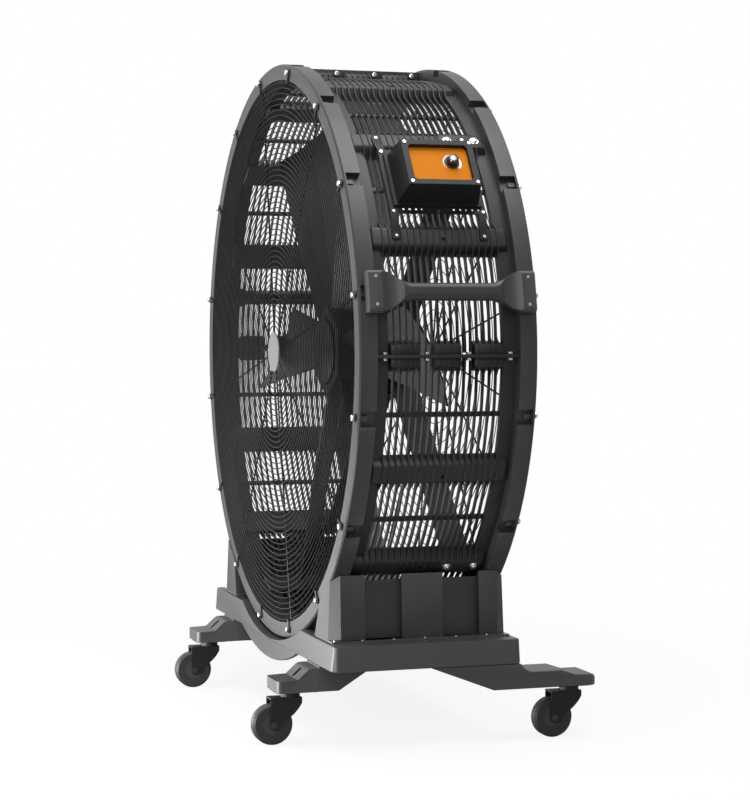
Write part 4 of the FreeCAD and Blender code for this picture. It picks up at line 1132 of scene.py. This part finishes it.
@dataclass
class SpeedDial:
    """Fluted knob with a bright cap and a pointer, over a printed arc that widens with speed."""

    angle: float = 33.75
    face: float = 0.810
    along: float = 0.032
    across: float = 0.008
    gap: float = 0.0003
    height: float = 0.018
    crisp: float = 30.0
    skirt_radius: float = 0.018
    skirt_height: float = 0.004
    skirt_round: float = 0.0012
    skirt_sides: int = 48
    grip_radius: float = 0.014
    grip_top_radius: float = 0.0125
    grip_round: float = 0.0009
    grip_edge_angle: float = 60.0
    flutes: int = 18
    flute_depth: float = 0.035
    stem_radius: float = 0.003
    stem_depth: float = 0.008
    stem_sides: int = 16
    cap_radius: float = 0.0075
    cap_levels: Span = (-0.0005, 0.0006)
    cap_round: float = 0.0004
    cap_sides: int = 40
    pointer_levels: Span = (-0.006, 0.0002)
    pointer_half: float = 0.0009
    pointer_over: float = 0.0004
    pointer_round: float = 0.0003
    arc_inner: float = 0.0192
    arc_width: Span = (0.0014, 0.0062)
    arc_span: Span = (225.0, -45.0)
    arc_steps: int = 40
    print_rise: float = 0.0003

    def place(self) -> Matrix:
        """Move from the dial's own frame, X outwards, to the fan's."""
        middle = Matrix.Translation((self.face, self.along, self.across))
        return DRUM.place() @ DRUM.turn(self.angle) @ middle

    def arc(self) -> Piece:
        """Makes the printed arc, thin at low speed and wide at full speed.

        Returns:
            The arc.
        """
        inner, outer = [], []
        for i in range(self.arc_steps + 1):
            share = i / self.arc_steps
            angle = math.radians(self.arc_span[0] + (self.arc_span[1] - self.arc_span[0]) * share)
            width = self.arc_width[0] + (self.arc_width[1] - self.arc_width[0]) * share
            way = Vector((0.0, math.cos(angle), math.sin(angle)))
            inner.append(way * self.arc_inner)
            outer.append(way * (self.arc_inner + width))
        piece = add_outline("speed_arc", outer + inner[::-1])
        open_mesh(piece)
        bpy.ops.mesh.extrude_region_move(TRANSFORM_OT_translate={"value": (self.print_rise, 0.0, 0.0)})
        bpy.ops.mesh.select_all(action="SELECT")
        bpy.ops.mesh.normals_make_consistent(inside=False)
        close_mesh()
        return piece

    def grip(self) -> Piece:
        """Makes the knob: skirt, fluted tapering grip and stem.

        Returns:
            The knob.
        """
        foot, shoulder, top = self.gap, self.gap + self.skirt_height, self.gap + self.height
        skirt = add_rod("skirt", self.skirt_radius, (foot, 0, 0), (shoulder, 0, 0), self.skirt_sides)
        soften(skirt, self.skirt_round, 3)
        fluted = add_rod("fluted", self.grip_radius, (shoulder, 0, 0), (top, 0, 0), 4 * self.flutes)
        for vertex in fluted.data.vertices:
            angle = math.atan2(vertex.co.z, vertex.co.y)
            size = self.grip_radius if vertex.co.x < (shoulder + top) / 2 else self.grip_top_radius
            radius = size * (1.0 + self.flute_depth * math.cos(angle * self.flutes))
            vertex.co.y, vertex.co.z = radius * math.cos(angle), radius * math.sin(angle)
        soften(fluted, self.grip_round, angle=self.grip_edge_angle)
        stem = add_rod("stem", self.stem_radius, (-self.stem_depth, 0, 0), (foot, 0, 0), self.stem_sides)
        return smooth(join([skirt, fluted, stem], "fluted_knob"), self.crisp)

    def cap(self) -> Piece:
        """Makes the bright cap in the knob's end.

        Returns:
            The cap.
        """
        low, high = (self.gap + self.height + level for level in self.cap_levels)
        piece = add_rod("knob_cap", self.cap_radius, (low, 0, 0), (high, 0, 0), self.cap_sides)
        return soften(piece, self.cap_round)

    def pointer(self) -> Piece:
        """Makes the pointer, which rests at the arc's thin end.

        Returns:
            The pointer.
        """
        low, high = (self.gap + self.height + level for level in self.pointer_levels)
        tip = self.grip_top_radius + self.pointer_over
        piece = add_block(
            "knob_pointer", (low, self.cap_radius, -self.pointer_half), (high, tip, self.pointer_half)
        )
        soften(piece, self.pointer_round)
        piece.data.transform(Matrix.Rotation(math.radians(self.arc_span[0]), 4, "X"))
        return piece

    def build(self, wardrobe: Wardrobe) -> None:
        """Makes the cap, the pointer, the arc and the knob.

        Args:
            wardrobe: The materials.
        """
        rows = (
            (self.cap(), "cap_alloy", "speed_knob", ()),
            (self.pointer(), "dial_print", "speed_knob", ()),
            (self.arc(), "dial_print", ROOT, ()),
            (self.grip(), "black_clip", "speed_knob", ("speed_knob",)),
        )
        for piece, slot, body, nodes in rows:
            piece.data.transform(self.place())
            show(piece, wardrobe, slot, body, nodes)


@dataclass(frozen=True)
class Lamp:
    """A soft rectangular lamp that faces a point."""

    name: str
    place: Triple
    aim: Triple
    width: float
    height: float
    watts: float

    def build(self) -> None:
        """Hangs the lamp."""
        lamp = bpy.data.lights.new(self.name, "AREA")
        lamp.shape = "RECTANGLE"
        lamp.size = self.width
        lamp.size_y = self.height
        lamp.energy = self.watts
        holder = bpy.data.objects.new(self.name, lamp)
        holder.location = self.place
        holder.rotation_euler = (Vector(self.aim) - Vector(self.place)).to_track_quat("-Z", "Y").to_euler()
        bpy.context.scene.collection.objects.link(holder)


@dataclass
class Studio:
    """White floor and surroundings, soft lamps and the photograph's camera."""

    eye: Triple = (5.4510, -1.7127, 1.0429)
    yaw: float = 72.227
    pitch: float = 2.213
    lens: float = 96.22
    sensor: float = 36.0
    far: float = 200.0
    floor_half: float = 30.0
    floor_drop: float = 0.0005
    floor_roughness: float = 0.9
    floor_white: float = 0.86
    floor_colour: Triple = (0.92, 0.92, 0.92)
    floor_bounce: Triple = (0.45, 0.45, 0.45)
    fade: Span = (0.9, 2.6)
    white: float = 1.0
    light: float = 0.32
    shown: Span = (0.30, 1.0)
    shown_from: Span = (-0.4, 0.6)
    bright_side: Triple = (-0.62, -0.70, 0.35)
    lamps: tuple[Lamp, ...] = (
        Lamp("low_front", (-0.3, -1.55, 0.12), (-0.3, 0.0, 0.02), 2.2, 0.2, 58.0),
        Lamp("front_bank", (-2.6, -4.6, 1.6), (0.0, 0.0, 0.5), 3.0, 3.0, 50.0),
        Lamp("top_bank", (1.2, -0.2, 4.6), (0.0, 0.0, 0.8), 3.2, 3.2, 170.0),
        Lamp("right_fill", (5.2, -1.6, 2.4), (0.0, 0.0, 0.6), 2.6, 2.6, 72.0),
    )

    def build(self) -> None:
        """Sets the floor, the world, the lamps and the camera."""
        self._floor()
        self._world()
        for lamp in self.lamps:
            lamp.build()
        self._camera()
        bpy.context.scene.view_settings.view_transform = "Standard"

    def _floor(self) -> None:
        """Pale floor that keeps the shadow and shows white to the camera further out."""
        deselect()
        bpy.ops.mesh.primitive_plane_add(size=2 * self.floor_half, location=(0.0, 0.0, -self.floor_drop))
        floor = settle(bpy.context.active_object)
        floor.name = "floor"
        paint = bpy.data.materials.new("pale_floor")
        paint.use_nodes = True
        nodes, links = paint.node_tree.nodes, paint.node_tree.links
        path = nodes.new("ShaderNodeLightPath")
        shader = nodes["Principled BSDF"]
        shader.inputs["Roughness"].default_value = self.floor_roughness
        shade = nodes.new("ShaderNodeMix")
        shade.data_type = "RGBA"
        shade.inputs["A"].default_value = (*self.floor_bounce, 1.0)
        shade.inputs["B"].default_value = (*self.floor_colour, 1.0)
        links.new(path.outputs["Is Camera Ray"], shade.inputs["Factor"])
        links.new(shade.outputs["Result"], shader.inputs["Base Color"])
        glow = nodes.new("ShaderNodeEmission")
        glow.inputs["Color"].default_value = WHITE
        place = nodes.new("ShaderNodeTexCoord")
        away = nodes.new("ShaderNodeVectorMath")
        away.operation = "LENGTH"
        links.new(place.outputs["Object"], away.inputs[0])
        fade = nodes.new("ShaderNodeMapRange")
        fade.inputs["From Min"].default_value = self.fade[0]
        fade.inputs["From Max"].default_value = self.fade[1]
        fade.inputs["To Min"].default_value = self.floor_white
        links.new(away.outputs["Value"], fade.inputs["Value"])
        share = nodes.new("ShaderNodeMath")
        share.operation = "MULTIPLY"
        links.new(fade.outputs["Result"], share.inputs[0])
        links.new(path.outputs["Is Camera Ray"], share.inputs[1])
        mix = nodes.new("ShaderNodeMixShader")
        links.new(share.outputs[0], mix.inputs[0])
        links.new(shader.outputs[0], mix.inputs[1])
        links.new(glow.outputs[0], mix.inputs[2])
        links.new(mix.outputs[0], nodes["Material Output"].inputs["Surface"])
        floor.data.materials.append(paint)

    def _world(self) -> None:
        """White to the camera, brighter on one side in reflections, plain soft grey as light."""
        world = bpy.data.worlds.new("studio")
        bpy.context.scene.world = world
        world.use_nodes = True
        nodes, links = world.node_tree.nodes, world.node_tree.links
        background = nodes["Background"]
        background.inputs["Color"].default_value = WHITE
        way = nodes.new("ShaderNodeTexCoord")
        facing = nodes.new("ShaderNodeVectorMath")
        facing.operation = "DOT_PRODUCT"
        facing.inputs[1].default_value = self.bright_side
        links.new(way.outputs["Generated"], facing.inputs[0])
        shown = nodes.new("ShaderNodeMapRange")
        shown.inputs["From Min"].default_value = self.shown_from[0]
        shown.inputs["From Max"].default_value = self.shown_from[1]
        shown.inputs["To Min"].default_value = self.shown[0]
        shown.inputs["To Max"].default_value = self.shown[1]
        links.new(facing.outputs["Value"], shown.inputs["Value"])
        path = nodes.new("ShaderNodeLightPath")
        glossy = nodes.new("ShaderNodeMix")
        glossy.inputs["A"].default_value = self.light
        links.new(path.outputs["Is Glossy Ray"], glossy.inputs["Factor"])
        links.new(shown.outputs["Result"], glossy.inputs["B"])
        seen = nodes.new("ShaderNodeMix")
        seen.inputs["B"].default_value = self.white
        links.new(path.outputs["Is Camera Ray"], seen.inputs["Factor"])
        links.new(glossy.outputs["Result"], seen.inputs["A"])
        links.new(seen.outputs["Result"], background.inputs["Strength"])

    def _camera(self) -> None:
        """Sets the camera where the photograph was taken."""
        lens = bpy.data.cameras.new("photo_view")
        lens.lens = self.lens
        lens.sensor_width = self.sensor
        lens.clip_end = self.far
        camera = bpy.data.objects.new("photo_view", lens)
        yaw, pitch = math.radians(self.yaw), math.radians(self.pitch)
        look = Vector((-math.sin(yaw) * math.cos(pitch), math.cos(yaw) * math.cos(pitch), -math.sin(pitch)))
        camera.location = self.eye
        camera.rotation_euler = look.to_track_quat("-Z", "Y").to_euler()
        bpy.context.scene.collection.objects.link(camera)
        bpy.context.scene.camera = camera


def main() -> None:
    """Builds every sub-assembly in order."""
    logging.basicConfig(level=logging.INFO, format="%(name)s: %(message)s")
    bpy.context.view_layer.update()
    wardrobe = Wardrobe()
    wardrobe.dress_frame()
    Mouldings().build(wardrobe)
    WireGrille(Side.FRONT, pitch=0.0141, wire=0.0015, spokes=8).build(wardrobe)
    WireGrille(Side.REAR, pitch=0.0282, wire=0.0013, spokes=16).build(wardrobe)
    Cage().build(wardrobe)
    Fasteners().build(wardrobe)
    SpeedDial().build(wardrobe)
    Studio().build()


if __name__ == "__main__":
    main()
